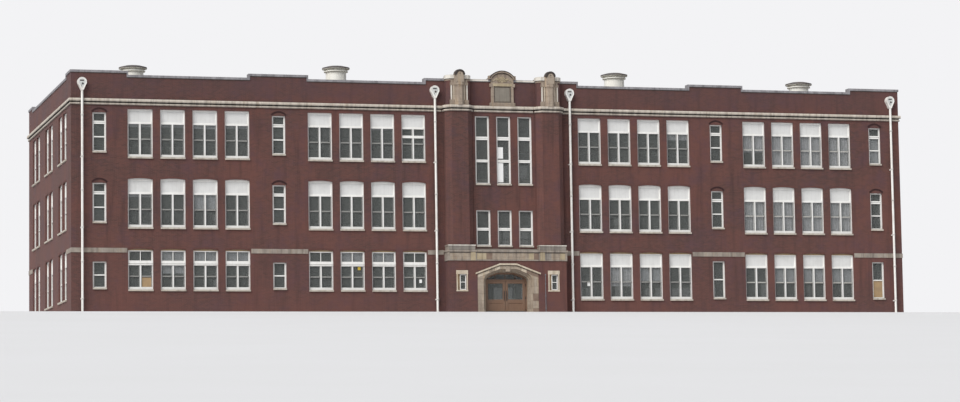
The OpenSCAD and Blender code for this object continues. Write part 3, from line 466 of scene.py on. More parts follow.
def concreteMaterial(name):
    material, tree, at = newFinish(name)
    cloud = noise(tree, at["place"], 1.6, 6.0, 0.6)
    grit = noise(tree, at["place"], 70.0, 4.0)
    tone = blendColours(tree, cloud, srgb(118, 114, 108), srgb(156, 152, 144))
    close(tree, tone, spread(tree, cloud, 0.3, 0.7, 0.8, 0.95), grit, 0.002)
    return material


def clothMaterial(name, light, shade):
    material, tree, at = newFinish(name)
    weave = put(tree, "ShaderNodeTexWave", {"Vector": at["flat"], "Scale": 180.0, "Distortion": 0.6})
    folds = noise(tree, stretched(tree, at["flat"], (14.0, 0.8, 1.0)), 1.0, 3.0)
    tone = blendColours(tree, spread(tree, folds, 0.35, 0.65, 0.0, 1.0), light, shade)
    close(tree, tone, spread(tree, folds, 0.3, 0.7, 0.8, 0.95), weave.outputs["Fac"], 0.0004)
    return material


looks = {
    "brick": brickMaterial(),
    "concrete": concreteMaterial("slabConcrete"),
    "roofing": roofMaterial("gravelRoofing"),
    "vent_metal": paintMaterial("ventPaint", srgb(242, 240, 232), srgb(190, 178, 160), 0.35, gloss=0.5),
    "stone": stoneMaterial("limestone", srgb(158, 148, 136), srgb(108, 98, 90), srgb(186, 177, 163),
                           blockLength=0.62, warm=0.2),
    "coping_stone": stoneMaterial("copingStone", srgb(128, 125, 128), srgb(88, 86, 89), srgb(158, 156, 159),
                                  blockLength=0.9),
    "window_paint": paintMaterial("windowPaint", srgb(238, 237, 233), srgb(184, 178, 168), 0.3),
    "glass": glassMaterial("windowGlass", srgb(108, 112, 110), 0.7),
    "panel_paint": paintMaterial("panelPaint", srgb(219, 219, 217), srgb(184, 183, 179), 0.35, boards=0.118),
    "spout_paint": paintMaterial("spoutPaint", srgb(236, 234, 229), srgb(160, 140, 120), 0.35, gloss=0.5),
    "door_wood": woodMaterial("doorWood", srgb(140, 110, 88), srgb(96, 70, 54)),
    "hinge_metal": metalMaterial("hingeIron", srgb(58, 58, 60), srgb(92, 70, 56)),
}
stoneTones = {
    "carved": (srgb(146, 130, 116), srgb(98, 87, 78), srgb(172, 158, 142)),
    "dressed": (srgb(150, 136, 122), srgb(106, 94, 84), srgb(178, 165, 148)),
    "yellow": (srgb(166, 151, 124), srgb(122, 108, 88), srgb(186, 172, 146)),
    "grey": (srgb(128, 121, 114), srgb(92, 86, 81), srgb(154, 147, 138)),
    "brown": (srgb(120, 101, 88), srgb(84, 70, 62), srgb(146, 126, 110)),
    "light": (srgb(192, 178, 158), srgb(142, 128, 112), srgb(212, 200, 182)),
    # a dark tone for painted shade strips, and for the tablet's dark border
    "sooty": (srgb(74, 66, 61), srgb(54, 48, 45), srgb(96, 87, 80)),
    "black": (srgb(52, 45, 43), srgb(38, 34, 33), srgb(66, 58, 54)),
    "sill": (srgb(180, 171, 159), srgb(134, 125, 114), srgb(200, 192, 180)),
    "pale": (srgb(208, 202, 192), srgb(160, 150, 138), srgb(228, 223, 214)),
    "course": (srgb(140, 130, 121), srgb(98, 89, 82), srgb(165, 156, 145)),
    "cornice": (srgb(196, 186, 173), srgb(140, 129, 118), srgb(218, 209, 197)),
    "slate": (srgb(126, 119, 109), srgb(104, 98, 90), srgb(140, 133, 122)),
}
carvedBlocks = {"blockLength": 0.36, "blockHeight": 0.22, "warm": 0.3}
portalBlocks = {"blockLength": 0.34, "blockHeight": 0.21, "warm": 0.3}
courseBlocks = {"blockLength": 0.62, "warm": 0.2}
carvedStone = stoneMaterial("carvedStone", *stoneTones["carved"], **carvedBlocks)
cappedStone = stoneMaterial("cappedStone", *stoneTones["carved"], **carvedBlocks, darkFrom=b["capsDark"])
portalStone = stoneMaterial("portalStone", *stoneTones["dressed"], **portalBlocks)
yellowStone = stoneMaterial("yellowStone", *stoneTones["yellow"])
greyStone = stoneMaterial("greyStone", *stoneTones["grey"])
brownStone = stoneMaterial("brownStone", *stoneTones["brown"])
lightStone = stoneMaterial("lightStone", *stoneTones["light"], warm=0.3)
# dark stone for painted shadow strips, and for the tablet's dark border
shadeAndSootStone = stoneMaterial("shadeAndSootStone", *stoneTones["sooty"])
blackStone = stoneMaterial("blackStone", *stoneTones["black"])
sillStone = stoneMaterial("sillStone", *stoneTones["sill"])
paleStone = stoneMaterial("paleStone", *stoneTones["pale"])
courseStone = stoneMaterial("courseStone", *stoneTones["course"], **courseBlocks)
# foot, head, share and colour of each dark band: a painted shadow under the cornice's slab, painted shade
# and dirt on the slab's lower part, and a darker lower course
corniceBands = ((5.955, 6.008, 1.0, srgb(48, 43, 38)), (6.008, 6.036, 0.5, srgb(92, 86, 80)),
                (5.86, 5.934, 0.8, srgb(88, 76, 72)))
corniceStone = stoneMaterial("corniceStone", *stoneTones["cornice"], **courseBlocks, bands=corniceBands)
slateStone = stoneMaterial("slateStone", *stoneTones["slate"])
stoneMix = (yellowStone, greyStone, brownStone, portalStone, lightStone)
whitePaint = looks["window_paint"]
tanBoard = woodMaterial("tanBoard", srgb(180, 152, 114), srgb(150, 124, 90))
darkMetal = looks["hinge_metal"]
dimGlass = glassMaterial("dimGlass", srgb(74, 78, 77), 0.35)

for entry in frame["record"]["subparts"]:
    target = frame["nodes"][entry["node"]]
    target.data.materials.clear()
    target.data.materials.append(looks[entry["material_slot"]])
finishes = {
    "turret_caps": cappedStone, "centre_tablet": carvedStone, "portal_surround": portalStone,
    "side_window_stones": lightStone, "portal_hood": lightStone, "front_cornice": corniceStone,
    "rear_cornice": corniceStone, "window_sills": sillStone, "string_course": courseStone,
    "entrance_belt": courseStone, "back_glass": dimGlass, "end_glass": dimGlass,
}
for name, look in finishes.items():
    frame["nodes"][name].data.materials[0] = look
print("stage: materials on", len(frame["nodes"]), "CAD nodes")


# Windows

def hasTopLights(side, storey):
    # the left wing's ground windows
    return side < 0 and storey == 0


def windowAt(side, group, number, storey):
    # left edge and foot of a wide window; numbers run outwards from the middle
    left = b["groupStarts"][group] + number * b["pitch"]
    left = left if side > 0 else -left - b["windowWidth"]
    foot = b["windowFoot"] + storey * b["storey"]
    if hasTopLights(side, storey):
        foot += b["leftRise"]
    return left, foot


def wideWindows():
    # side, group, storey, left edge and foot of each wide window in the front
    for side in (-1, 1):
        for group in (0, 1):
            for number in range(b["groupCount"]):
                for storey in (0, 1, 2):
                    yield (side, group, storey, *windowAt(side, group, number, storey))


def narrowWindows():
    # left edge and foot of each narrow window of the two upper storeys
    for side in (-1, 1):
        for start in b["narrowStarts"]:
            left = start if side > 0 else -start - b["narrowWidth"]
            for storey in (1, 2):
                yield left, b["windowFoot"] + storey * b["storey"] + b["narrowLift"]


hangings = {
    "behind": 0.03,         # gap between glass and cloth
    "fold": 0.009,
    "foldShares": (1.2, 0.7),           # depth of the folds at the foot and at the head
    "folds": 7,
    "curtainSteps": 56,
    "bow": 0.003,
    "sag": 0.004,
    "shadeSteps": 6,
    "sideGap": 0.045,
    "glazedFoot": 0.085,
    "glazedHead": 0.995,
    "litHead": 1.13,        # where the left wing's ground windows have top lights
    "blind": (0.03, 0.08, 0.88),        # side gap, foot and head in the outer narrow window at the top
    # side, group, number, storey and the share of the glass they cover
    "curtains": ((1, 1, 0, 1, 1.0), (1, 1, 1, 1, 1.0), (1, 1, 2, 1, 1.0), (1, 1, 3, 1, 1.0),
                 (1, 1, 0, 2, 0.55), (1, 1, 1, 2, 1.0), (1, 1, 2, 2, 1.0), (1, 1, 3, 2, 1.0),
                 (1, 0, 1, 0, 0.62)),
    "shades": ((-1, 1, 3, 2, 0.1), (-1, 1, 2, 2, 0.1), (-1, 1, 1, 2, 0.13), (-1, 1, 0, 2, 0.1),
               (-1, 1, 3, 1, 0.1), (-1, 1, 1, 1, 0.5), (-1, 1, 1, 0, 0.27), (-1, 1, 0, 0, 0.27),
               (-1, 1, 2, 0, 0.6), (-1, 0, 2, 0, 0.27), (-1, 0, 1, 0, 0.27), (-1, 0, 1, 2, 0.06),
               (1, 0, 2, 0, 0.45), (1, 0, 3, 2, 0.2), (1, 1, 1, 0, 0.5), (1, 1, 2, 0, 0.5),
               (1, 1, 3, 0, 0.45)),
}


def addCurtain(shape, x0, x1, y, z0, z1):
    phase = chance.uniform(0, math.tau)
    low, high = hangings["foldShares"]

    def place(u, v):
        deep = hangings["fold"] * (low + (high - low) * v)
        wave = deep * math.sin(math.tau * hangings["folds"] * u + phase)
        return (x0 + (x1 - x0) * u, y + wave, z0 + (z1 - z0) * v)
    addSheet(shape, hangings["curtainSteps"], 2, place)


def addShade(shape, x0, x1, y, z0, z1):
    sag = chance.uniform(-hangings["sag"], hangings["sag"])

    def place(u, v):
        bow = hangings["bow"] * math.sin(math.pi * u)
        return (x0 + (x1 - x0) * u, y + bow, z0 + (z1 - z0) * v + sag * u * (1 - v))
    addSheet(shape, hangings["shadeSteps"], 2, place)


def hangWindows():
    curtains = Shape()
    shades = Shape()
    y = b["front"] + b["glassBack"] + hangings["behind"]
    for kind, shape, add in (("curtains", curtains, addCurtain), ("shades", shades, addShade)):
        for side, group, number, storey, share in hangings[kind]:
            left, foot = windowAt(side, group, number, storey)
            head = hangings["litHead"] if hasTopLights(side, storey) else hangings["glazedHead"]
            low = head - (head - hangings["glazedFoot"]) * share
            add(shape, left + hangings["sideGap"], left + b["windowWidth"] - hangings["sideGap"], y,
                foot + low, foot + head)
    # a blind behind the two lower panes of the outer narrow window at the top
    gap, low, head = hangings["blind"]
    left = b["narrowStarts"][1]
    foot = b["windowFoot"] + 2 * b["storey"] + b["narrowLift"]
    addShade(shades, left + gap, left + b["narrowWidth"] - gap, y, foot + low, foot + head)
    linen = clothMaterial("curtainLinen", srgb(244, 244, 248), srgb(218, 218, 222))
    canvas = clothMaterial("shadeCanvas", srgb(224, 226, 230), srgb(196, 198, 204))
    piece("frontCurtains", curtains, linen, smooth=True)
    piece("frontShades", shades, canvas, smooth=True)


# Boards, cards and rails that one window has and the next has not
extras = {
    "tallBoards": ((0.10, 0.66), (0.79, 1.12)),     # foot and head in the middle tall window
    "tallBoardIn": 0.05,
    "tallBoardWidth": 0.165,
    "tallBoardOut": (0.014, 0.012),     # how far it stands before the glass, and its thickness
    "cards": ((-2.532, 0.955, 0.08, 0.1), (2.545, 0.885, 0.085, 0.11)),     # left, foot, width, height
    "yellow": (-4.345, 1.315, 0.085, 0.095),
    "cardOut": (0.004, 0.003),
    "headFoot": 0.017,      # tan boards in the arched heads begin under the opening's head
    "headGap": (0.004, 0.002),          # free at their sides and over them
    "headOut": 0.006,
    "headSteps": 10,
    "archRise": 0.03,
    "boardOut": (0.012, 0.01),
    "boardedPane": (0.392, 0.663, 0.095, 0.385),    # edges, foot and head in the outer left window
    "boardedNarrow": (0.048, 0.578, 1.066),         # side gap, foot and head
    "thickRail": (0.718, 0.793),
    "thickRailOut": 0.004,
    "narrowBar": 0.87,      # top of a narrow window's second bar, over its foot
    "narrowBarOut": 0.003,
    "railHeight": 0.056,
    # dark strips under the narrow windows' bar tops and the left ground transoms are a painted shadow
    "railShadow": (0.034, 0.012, 0.004, 0.0012),       # side, foot and head under the bar's top, thickness
    "transomShadow": (1.456, 1.466),
    "transomSide": 0.004,
    "transomDepth": (0.0364, 0.038),
}


def standBoards():
    white = Shape()
    yellow = Shape()
    out, thick = extras["tallBoardOut"]
    near = b["bayOut"] - b["glassFront"] + out
    left = b["bayStarts"][1] + extras["tallBoardIn"]
    for low, high in extras["tallBoards"]:
        addFront(white, left, left + extras["tallBoardWidth"], near, near - thick, b["tallFoot"] + low,
                 b["tallFoot"] + high)
    out, thick = extras["cardOut"]
    near = out - b["glassFront"]
    for shape, cards in ((white, extras["cards"]), (yellow, (extras["yellow"],))):
        for x, z, width, high in cards:
            addFront(shape, x, x + width, near, near - thick, z, z + high)
    whiteCard = paintMaterial("whiteCard", srgb(240, 240, 238), srgb(206, 206, 202), 0.2)
    yellowCard = paintMaterial("yellowCard", srgb(206, 178, 62), srgb(170, 140, 60), 0.2)
    piece("standingBoards", white, whiteCard, bevel=0.001)
    piece("yellowCard", yellow, yellowCard, bevel=0.001)


def addHeadBoards(tan):
    # a tan board in the arched head of each ground window
    sideGap, topGap = extras["headGap"]
    half = b["windowWidth"] / 2 - sideGap
    head = b["windowFoot"] + b["windowHeight"]
    low = head - extras["headFoot"]
    steps = extras["headSteps"]
    arch = [half - 2 * half * i / steps for i in range(steps + 1)]
    for side, group, storey, left, foot in wideWindows():
        if storey:
            continue
        middle = left + b["windowWidth"] / 2
        outline = [(middle - half, low), (middle + half, low)]
        outline += [(middle + x, head - topGap + arcHeight(b["windowWidth"] / 2, extras["archRise"], x))
                    for x in arch]
        addFrontPrism(tan, outline, extras["headOut"] - b["frameFront"], -b["frameFront"])


def addBoardedPanes(tan):
    out, thick = extras["boardOut"]
    near = out - b["glassFront"]
    left, foot = windowAt(-1, 1, 3, 0)
    x0, x1, z0, z1 = extras["boardedPane"]
    addFront(tan, left + x0, left + x1, near, near - thick, foot + z0, foot + z1)
    left = b["narrowStarts"][1]
    gap, z0, z1 = extras["boardedNarrow"]
    addFront(tan, left + gap, left + b["narrowWidth"] - gap, near, near - thick, z0, z1)


def addRails(rail, gaps):
    edge = b["frameEdge"]
    left, foot = windowAt(-1, 0, 0, 2)
    low, high = extras["thickRail"]
    addFront(rail, left + edge, left + b["windowWidth"] - edge, extras["thickRailOut"] - b["frameFront"],
             -b["glassFront"], foot + low, foot + high)
    near = extras["narrowBarOut"] - b["frameFront"]
    # a dark strip near each bar's top: a painted shadow
    side, under, over, thick = extras["railShadow"]
    for left, foot in narrowWindows():
        bar = foot + extras["narrowBar"]
        right = left + b["narrowWidth"]
        addFront(rail, left + edge, right - edge, near, -b["glassFront"], bar - extras["railHeight"], bar)
        addFront(gaps, left + side, right - side, near + thick, near, bar - under, bar - over)
    # a dark strip at each transom of the left wing's ground windows: a painted shadow
    near, far = extras["transomDepth"]
    low, high = extras["transomShadow"]
    side = extras["transomSide"]
    for group in (0, 1):
        for number in range(b["groupCount"]):
            left, foot = windowAt(-1, group, number, 0)
            addFront(gaps, left + side, left + b["windowWidth"] - side, -near, -far, low, high)


def fitBoards():
    tan = Shape()
    rail = Shape()
    gaps = Shape()
    addHeadBoards(tan)
    addBoardedPanes(tan)
    addRails(rail, gaps)
    piece("tanBoards", tan, tanBoard, bevel=0.001)
    piece("sashRails", rail, whitePaint, bevel=0.002)
    # the dark strips are a painted shadow
    piece("railShadowLines", gaps, shadeAndSootStone)


hangWindows()
standBoards()
fitBoards()
print("stage: curtains, shades and boards")


beads = {"width": 0.009, "proud": 0.008, "overGlass": 0.034}


def addBeads():
    # a thin bead round the boarded panel of each wide window, front only
    shape = Shape()
    edge = b["frameEdge"]
    for side, group, storey, left, foot in wideWindows():
        if hasTopLights(side, storey):
            continue
        addBorder(shape, left + edge, left + b["windowWidth"] - edge,
                  foot + hangings["glazedHead"] + beads["overGlass"], foot + b["windowHeight"] - edge,
                  beads["width"], beads["proud"] - b["glassFront"], -b["glassFront"])
    piece("panelBeads", shape, whitePaint)


sashes = {
    "stiles": ((0.03, 0.046), (0.319, 0.335), (0.375, 0.391), (0.664, 0.68)),
    "panes": ((0.046, 0.319), (0.391, 0.664)),
    "halves": ((0.03, 0.335), (0.375, 0.68)),
    "proud": 0.0015,
    "thick": 0.002,
    "foot": 0.088,
    "footHeight": 0.032,    # white foot rail of the lower sashes
    "rail": 0.034,
    "heads": (0.979, 0.724),        # top of the panes, in a plain window and in one with top lights
    "rails": (0.5364, 0.4038),
    "bayBars": ((5.1, 5.2), (4.452, 4.531), (2.466, 2.548)),
    "bayLine": (0.05, 0.006, 0.003, 0.001),     # side gap, under and over the bar's middle, thickness
}


def addSashes():
    # weathered sash stiles and rails in front of the frames, as the photo shows them; the stiles' dark grey
    # is partly their paint and partly a painted shade, as if they were set back
    stiles = Shape()
    lightRails = Shape()
    dullRails = Shape()
    feet = Shape()
    near = sashes["proud"] - b["frameFront"]
    far = near - sashes["thick"]
    low = sashes["foot"] + sashes["footHeight"]
    for side, group, storey, left, foot in wideWindows():
        lit = int(hasTopLights(side, storey))
        rails = lightRails if (side, group) == (1, 1) else dullRails
        rail = foot + sashes["rails"][lit]
        for x0, x1 in sashes["stiles"]:
            addFront(stiles, left + x0, left + x1, near, far, foot + low, foot + sashes["heads"][lit])
        for x0, x1 in sashes["panes"]:
            addFront(rails, left + x0, left + x1, near, far, rail, rail + sashes["rail"])
        for x0, x1 in sashes["halves"]:
            addFront(feet, left + x0, left + x1, near, far, foot + sashes["foot"], foot + low)
    addBayBars(feet, lightRails)
    # the stiles' dark grey: partly their grey paint, partly a painted shade as if they were set back
    stilePaint = paintMaterial("stilePaint", srgb(106, 107, 108), srgb(84, 82, 80), 0.5)
    railPaint = paintMaterial("railPaint", srgb(176, 174, 168), srgb(140, 136, 130), 0.5)
    dullPaint = paintMaterial("dullPaint", srgb(142, 141, 137), srgb(110, 108, 104), 0.5)
    piece("sashStiles", stiles, stilePaint)
    piece("lightRails", lightRails, railPaint)
    piece("dullRails", dullRails, dullPaint)
    piece("footRails", feet, whitePaint)


def addBayBars(bars, lines):
    near = sashes["proud"] + b["bayOut"] - b["frameFront"]
    edge = b["frameEdge"]
    side, under, over, thick = sashes["bayLine"]
    for left in b["bayStarts"]:
        right = left + b["bayWidth"]
        for low, high in sashes["bayBars"]:
            middle = (low + high) / 2
            addFront(bars, left + edge, right - edge, near, near - sashes["thick"], low, high)
            addFront(lines, left + side, right - side, near + thick, near, middle - under, middle + over)


addBeads()
addSashes()


# Brick arches

rowlocks = {"ring": 0.052, "gap": 0.0016, "edge": 0.001, "brick": 0.0345}
narrowArch = {"width": b["narrowWidth"], "rise": 0.088, "proud": 0.0065, "into": 0.012, "uneven": 0.0012}
wideArch = {"width": b["windowWidth"], "rise": 0.03, "proud": 0.0022, "into": 0.004, "uneven": 0.0}


def layArch(shape, arch, middle, foot, place):
    # place(x, out, z) gives the point on the wall's face
    half = arch["width"] / 2
    radius = arcRadius(half, arch["rise"])
    centre = foot + arch["rise"] - radius
    reach = math.asin(half / radius)
    count = round(2 * reach * (radius + rowlocks["ring"] / 2) / rowlocks["brick"])
    step = 2 * reach / count
    inner = radius + rowlocks["edge"]
    outer = radius + rowlocks["ring"] - rowlocks["edge"]
    for i in range(count):
        near = arch["proud"] + chance.uniform(-1, 1) * arch["uneven"]
        first = -reach + i * step + rowlocks["gap"] / radius
        last = -reach + (i + 1) * step - rowlocks["gap"] / radius
        corners = [(inner, first), (inner, last), (outer, last), (outer, first)]
        outline = [(middle + r * math.sin(a), centre + r * math.cos(a)) for r, a in corners]
        skin(shape, [[place(x, out, z) for x, z in outline] for out in (-arch["into"], near)])


def onFront(x, out, z):
    return (x, b["front"] - out, z)


def onBack(x, out, z):
    return (-x, b["back"] + out, z)


def onRight(x, out, z):
    return (b["end"] + out, (b["front"] + b["back"]) / 2 + x, z)


def onLeft(x, out, z):
    return (-b["end"] - out, (b["front"] + b["back"]) / 2 - x, z)


def layNarrowArches():
    bricks = Shape()
    for place in (onFront, onBack):
        for left, foot in narrowWindows():
            layArch(bricks, narrowArch, left + b["narrowWidth"] / 2, foot + b["narrowHeight"], place)
    arches = piece("archBricks", bricks, burntClay, bevel=0.0012)
    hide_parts("narrow_arches")


def layWideArches():
    bricks = Shape()
    half = b["windowWidth"] / 2
    starts = [start + i * b["pitch"] for start in b["groupStarts"] for i in range(b["groupCount"])]
    gap = (b["pitch"] - b["windowWidth"]) / 2
    rear = starts + [gap, gap + b["pitch"]]     # the back has four more, behind the bay
    pair = b["pitch"] + b["windowWidth"]
    pairStep = (b["back"] - b["front"] - pair) / 2 - b["endMargin"]
    ends = [k * pairStep - pair / 2 + i * b["pitch"] for k in (-1, 0, 1) for i in (0, 1)]
    for storey in (0, 1):
        head = b["windowFoot"] + storey * b["storey"] + b["windowHeight"]
        for place, lefts in ((onFront, starts), (onBack, rear)):
            for left in lefts:
                for side in (-1, 1):
                    layArch(bricks, wideArch, side * (left + half), head, place)
        for place in (onRight, onLeft):
            for left in ends:
                layArch(bricks, wideArch, left + half, head, place)
    piece("headBricks", bricks, archClay)


archClay = paintMaterial("archBrick", srgb(94, 60, 54), srgb(66, 46, 44), 0.6, gloss=0.82)
burntClay = paintMaterial("burntBrick", srgb(48, 21, 22), srgb(34, 18, 19), 0.5, gloss=0.82)
layNarrowArches()
layWideArches()
print("stage: arches")


# Entrance stone

portal = {
    "crown": 0.255,         # half of the level part
    "slope": math.tan(math.radians(20.5)),
    "ringTop": 1.415,       # upper edge of the ring's stones, at the crown
    "ringFoot": 1.337,
    "ringHalf": 0.913,
    "jambIn": 0.737,
    "proud": 0.004,
    "joint": 0.0035,
    "jambStones": (0.0, 0.205, 0.42, 0.63, 0.845, 1.03),
    "ringStones": (-0.913, -0.735, -0.56, -0.4, -0.235, -0.085, 0.085, 0.235, 0.4, 0.56, 0.735, 0.913),
    "keyHalves": (0.062, 0.078),        # half of the keystone's foot and of its head
    "keyHeights": (1.262, 1.422),
    "keyOut": (0.014, -0.04),
}
belt = {
    "foot": 1.609, "head": 1.796, "face": 0.38, "sunk": 0.01, "thick": 0.005, "joint": 0.004,
    "half": 0.933, "outer": (1.12, 1.738), "shortest": 0.13, "longest": 0.29, "last": 0.02,
    # a dark strip over the belt's head: a painted shadow under the ledge
    "darkening": (0.003, -0.001, 1.798, 1.812),      # before the belt's face, foot and head
    "pier": (0.97, 1.115), "pierOut": 0.004, "pierHeights": (1.58, 1.826),
    "block": (0.972, 1.768), "blockOut": 0.005, "blockHeights": (1.886, 1.996),
    "capPast": 0.013, "capOut": (0.019, 0.016), "capHeights": (2.003, 2.031),
}


def slopeAt(top, x):
    return top - max(0.0, abs(x) - portal["crown"]) * portal["slope"]


def addStones(shapes, outlines, near, far):
    # each stone goes to one of the shapes by chance
    for outline in outlines:
        addFrontPrism(chance.choice(shapes), outline, near, far)


def ringOutlines():
    found = []
    gap = portal["joint"] / 2
    edges = portal["ringStones"]
    for first, last in zip(edges, edges[1:]):
        x0, x1 = first + gap, last - gap
        bends = [x for x in (-portal["crown"], portal["crown"]) if x0 < x < x1]
        xs = [x0] + bends + [x1]
        low = [(x, slopeAt(portal["ringFoot"], x)) for x in xs]
        high = [(x, slopeAt(portal["ringTop"], x)) for x in reversed(xs)]
        found.append(low + high)
    return found


def jambOutlines():
    found = []
    gap = portal["joint"] / 2
    edges = portal["jambStones"]
    for side in (-1, 1):
        left, right = sorted((side * portal["jambIn"], side * portal["ringHalf"]))
        for low, high in zip(edges, edges[1:]):
            foot, head = low + gap, high - gap
            found.append([(left, foot), (right, foot), (right, head), (left, head)])
    return found


def beltOutlines(x0, x1):
    found = []
    gap = belt["joint"] / 2
    foot, head = belt["foot"], belt["head"]
    x = x0
    while x1 - x > belt["last"]:
        end = min(x1, x + chance.uniform(belt["shortest"], belt["longest"]))
        if x1 - end < belt["shortest"]:
            end = x1
        found.append([(x + gap, foot), (end - gap, foot), (end - gap, head), (x + gap, head)])
        x = end
    return found


def layEntranceStones():
    shapes = [Shape() for look in stoneMix]
    yellow, grey, brown, dressed, light = shapes
    face = b["baseOut"] + portal["proud"]
    addStones((yellow, brown, dressed, dressed, light), ringOutlines(), face, b["baseOut"])
    addStones((dressed, dressed, brown), jambOutlines(), face, b["baseOut"])
    sunk = belt["face"] - belt["sunk"]
    x0, x1 = belt["outer"]
    spans = ((-belt["half"], belt["half"], (dressed, brown, dressed, yellow)),
             (x0, x1, (dressed, brown, grey, yellow)), (-x1, -x0, (light, dressed, yellow)))
    for left, right, mix in spans:
        addStones(mix, beltOutlines(left, right), sunk + belt["thick"], sunk)
    # a dark strip over the belt, a painted shadow under the ledge
    darkening = Shape()
    near, far, low, high = belt["darkening"]
    addFront(darkening, -x1, x1, belt["face"] + near, belt["face"] + far, low, high)
    piece("beltShadow", darkening, shadeAndSootStone)
    for number, shape in enumerate(shapes):
        piece("entranceStones" + str(number), shape, stoneMix[number], bevel=0.0012)


def dressTurretFeet():
    # piers in the belt, and the blocks with light caps over it
    piers = Shape()
    blocks = Shape()
    tops = Shape()
    addPair(piers, *belt["pier"], belt["face"] + belt["pierOut"], belt["face"], *belt["pierHeights"])
    addPair(blocks, *belt["block"], b["baseOut"] + belt["blockOut"], b["baseOut"], *belt["blockHeights"])
    x0, x1 = belt["block"]
    near, far = belt["capOut"]
    addPair(tops, x0 - belt["capPast"], x1 + belt["capPast"], b["baseOut"] + near, b["baseOut"] + far,
            *belt["capHeights"])
    piece("beltPiers", piers, yellowStone, bevel=0.002)
    piece("turretBlocks", blocks, greyStone, bevel=0.002)
    piece("blockCaps", tops, paleStone, bevel=0.001)


def addKeystone():
    stone = Shape()
    small, large = portal["keyHalves"]
    low, high = portal["keyHeights"]
    near, far = portal["keyOut"]
    addFrontPrism(stone, [(-small, low), (small, low), (large, high), (-large, high)], b["baseOut"] + near,
                  b["baseOut"] + far)
    piece("keystone", stone, portalStone, bevel=0.004)


smallWindows = {
    "starts": (1.2445, -1.5095), "foot": 0.73, "head": 1.185,
    "deep": 0.045, "thick": 0.01, "board": 0.075, "sashProud": 0.006,
    "stiles": ((0.075, 0.1), (0.235, 0.265)), "rail": 0.03, "bar": (0.948, 0.968),
}


def dressSmallWindows():
    # a tan board in the left half of each small window, white sashes in the other
    tan = Shape()
    white = Shape()
    s = smallWindows
    foot, head, rail = s["foot"], s["head"], s["rail"]
    near = b["baseOut"] - s["deep"]
    x0, x1 = s["stiles"][0][1], s["stiles"][1][0]
    rails = ((x0, x1, foot, foot + rail), (x0, x1, head - rail, head), (x0, x1, *s["bar"]))
    for start in s["starts"]:
        addFront(tan, start, start + s["board"], near, near - s["thick"], foot, head)
        for left, right, low, high in (*((*stile, foot, head) for stile in s["stiles"]), *rails):
            addFront(white, start + left, start + right, near + s["sashProud"], near - s["thick"], low, high)
    piece("sideBoards", tan, tanBoard, bevel=0.001)
    piece("sideSashes", white, whitePaint, bevel=0.0015)


conduit = {"x": 1.125, "away": 0.012, "heights": (0.0, 0.6, 1.2), "radius": 0.008,
           "saddles": (0.2, 0.55, 0.9, 1.16), "saddleHalf": 0.02, "saddleOut": 0.01, "saddleHeight": 0.016}


def addConduit():
    # a thin pipe up the brick right of the doorway, with its saddles
    pipe = Shape()
    c = conduit
    wall = b["front"] - b["baseOut"]
    y = wall - c["away"]
    addTube(pipe, [(c["x"], y, z) for z in c["heights"]], c["radius"], 10)
    for z in c["saddles"]:
        addBlock(pipe, c["x"] - c["saddleHalf"], c["x"] + c["saddleHalf"], y - c["saddleOut"], wall, z,
                 z + c["saddleHeight"])
    zinc = metalMaterial("zincPipe", srgb(120, 120, 126), srgb(148, 148, 150), 0.45, 0.3)
    piece("conduit", pipe, zinc, bevel=0.001)


layEntranceStones()
dressTurretFeet()
addKeystone()
dressSmallWindows()
addConduit()
print("stage: entrance stone")


# Parapet stone

tablet = {
    "half": 0.258, "foot": 6.208, "head": 6.676, "face": 0.075, "recess": 0.051,
    "frame": 0.02, "frameProud": 0.004, "panelGap": 0.012, "panelProud": 0.008,
    "bandHalf": 0.291, "bandHeights": (6.682, 6.764), "bandOut": (0.007, -0.01),
}


def addTablet():
    t = tablet
    half, foot, head = t["half"], t["foot"], t["head"]
    border = Shape()
    addBorder(border, -half, half, foot, head, t["frame"], t["face"] + t["frameProud"], t["recess"])
    piece("tabletBorder", border, shadeAndSootStone)
    panel = Shape()
    inset = t["frame"] + t["panelGap"]
    addFront(panel, inset - half, half - inset, t["recess"] + t["panelProud"], t["recess"], foot + inset,
             head - inset)
    piece("tabletPanel", panel, slateStone, bevel=0.004)
    band = Shape()
    near, far = t["bandOut"]
    addFront(band, -t["bandHalf"], t["bandHalf"], t["face"] + near, t["face"] + far, *t["bandHeights"])
    piece("tabletBand", band, yellowStone, bevel=0.003)


carving = {
    "out": 0.057, "proud": 0.004, "foot": 6.812,
    "ribs": 9, "ribSteps": 6, "ribStart": 0.03, "ribLength": 0.105, "ribRadii": (0.006, 0.019),
    "ribStretch": 1.15,
    "shell": ((0.034, 0.0), (0.032, 0.008), (0.022, 0.015), (0.008, 0.018)),
    "scrollSteps": 24, "scrollStart": 0.15, "scrollLength": 0.15, "scrollLift": 0.045, "scrollRise": 0.06,
    "scrollRadii": (0.018, 0.007), "scrollTurn": 0.9, "scrollSink": 0.5,
    "eyeX": 0.152, "eyeLift": 0.075,
    "eye": ((0.034, 0.0), (0.034, 0.006), (0.026, 0.013), (0.01, 0.016)),
}


def shares(steps):
    return [k / steps for k in range(steps + 1)]


def addRibs(shape, y):
    c = carving
    thin, thick = c["ribRadii"]
    radii = [thin + (thick - thin) * share for share in shares(c["ribSteps"])]
    for i in range(c["ribs"]):
        angle = math.pi * (i + 0.5) / c["ribs"]
        reaches = [c["ribStart"] + c["ribLength"] * share for share in shares(c["ribSteps"])]
        path = [(reach * math.cos(angle), y - c["proud"],
                 c["foot"] + reach * math.sin(angle) * c["ribStretch"]) for reach in reaches]
        addTube(shape, path, radii)


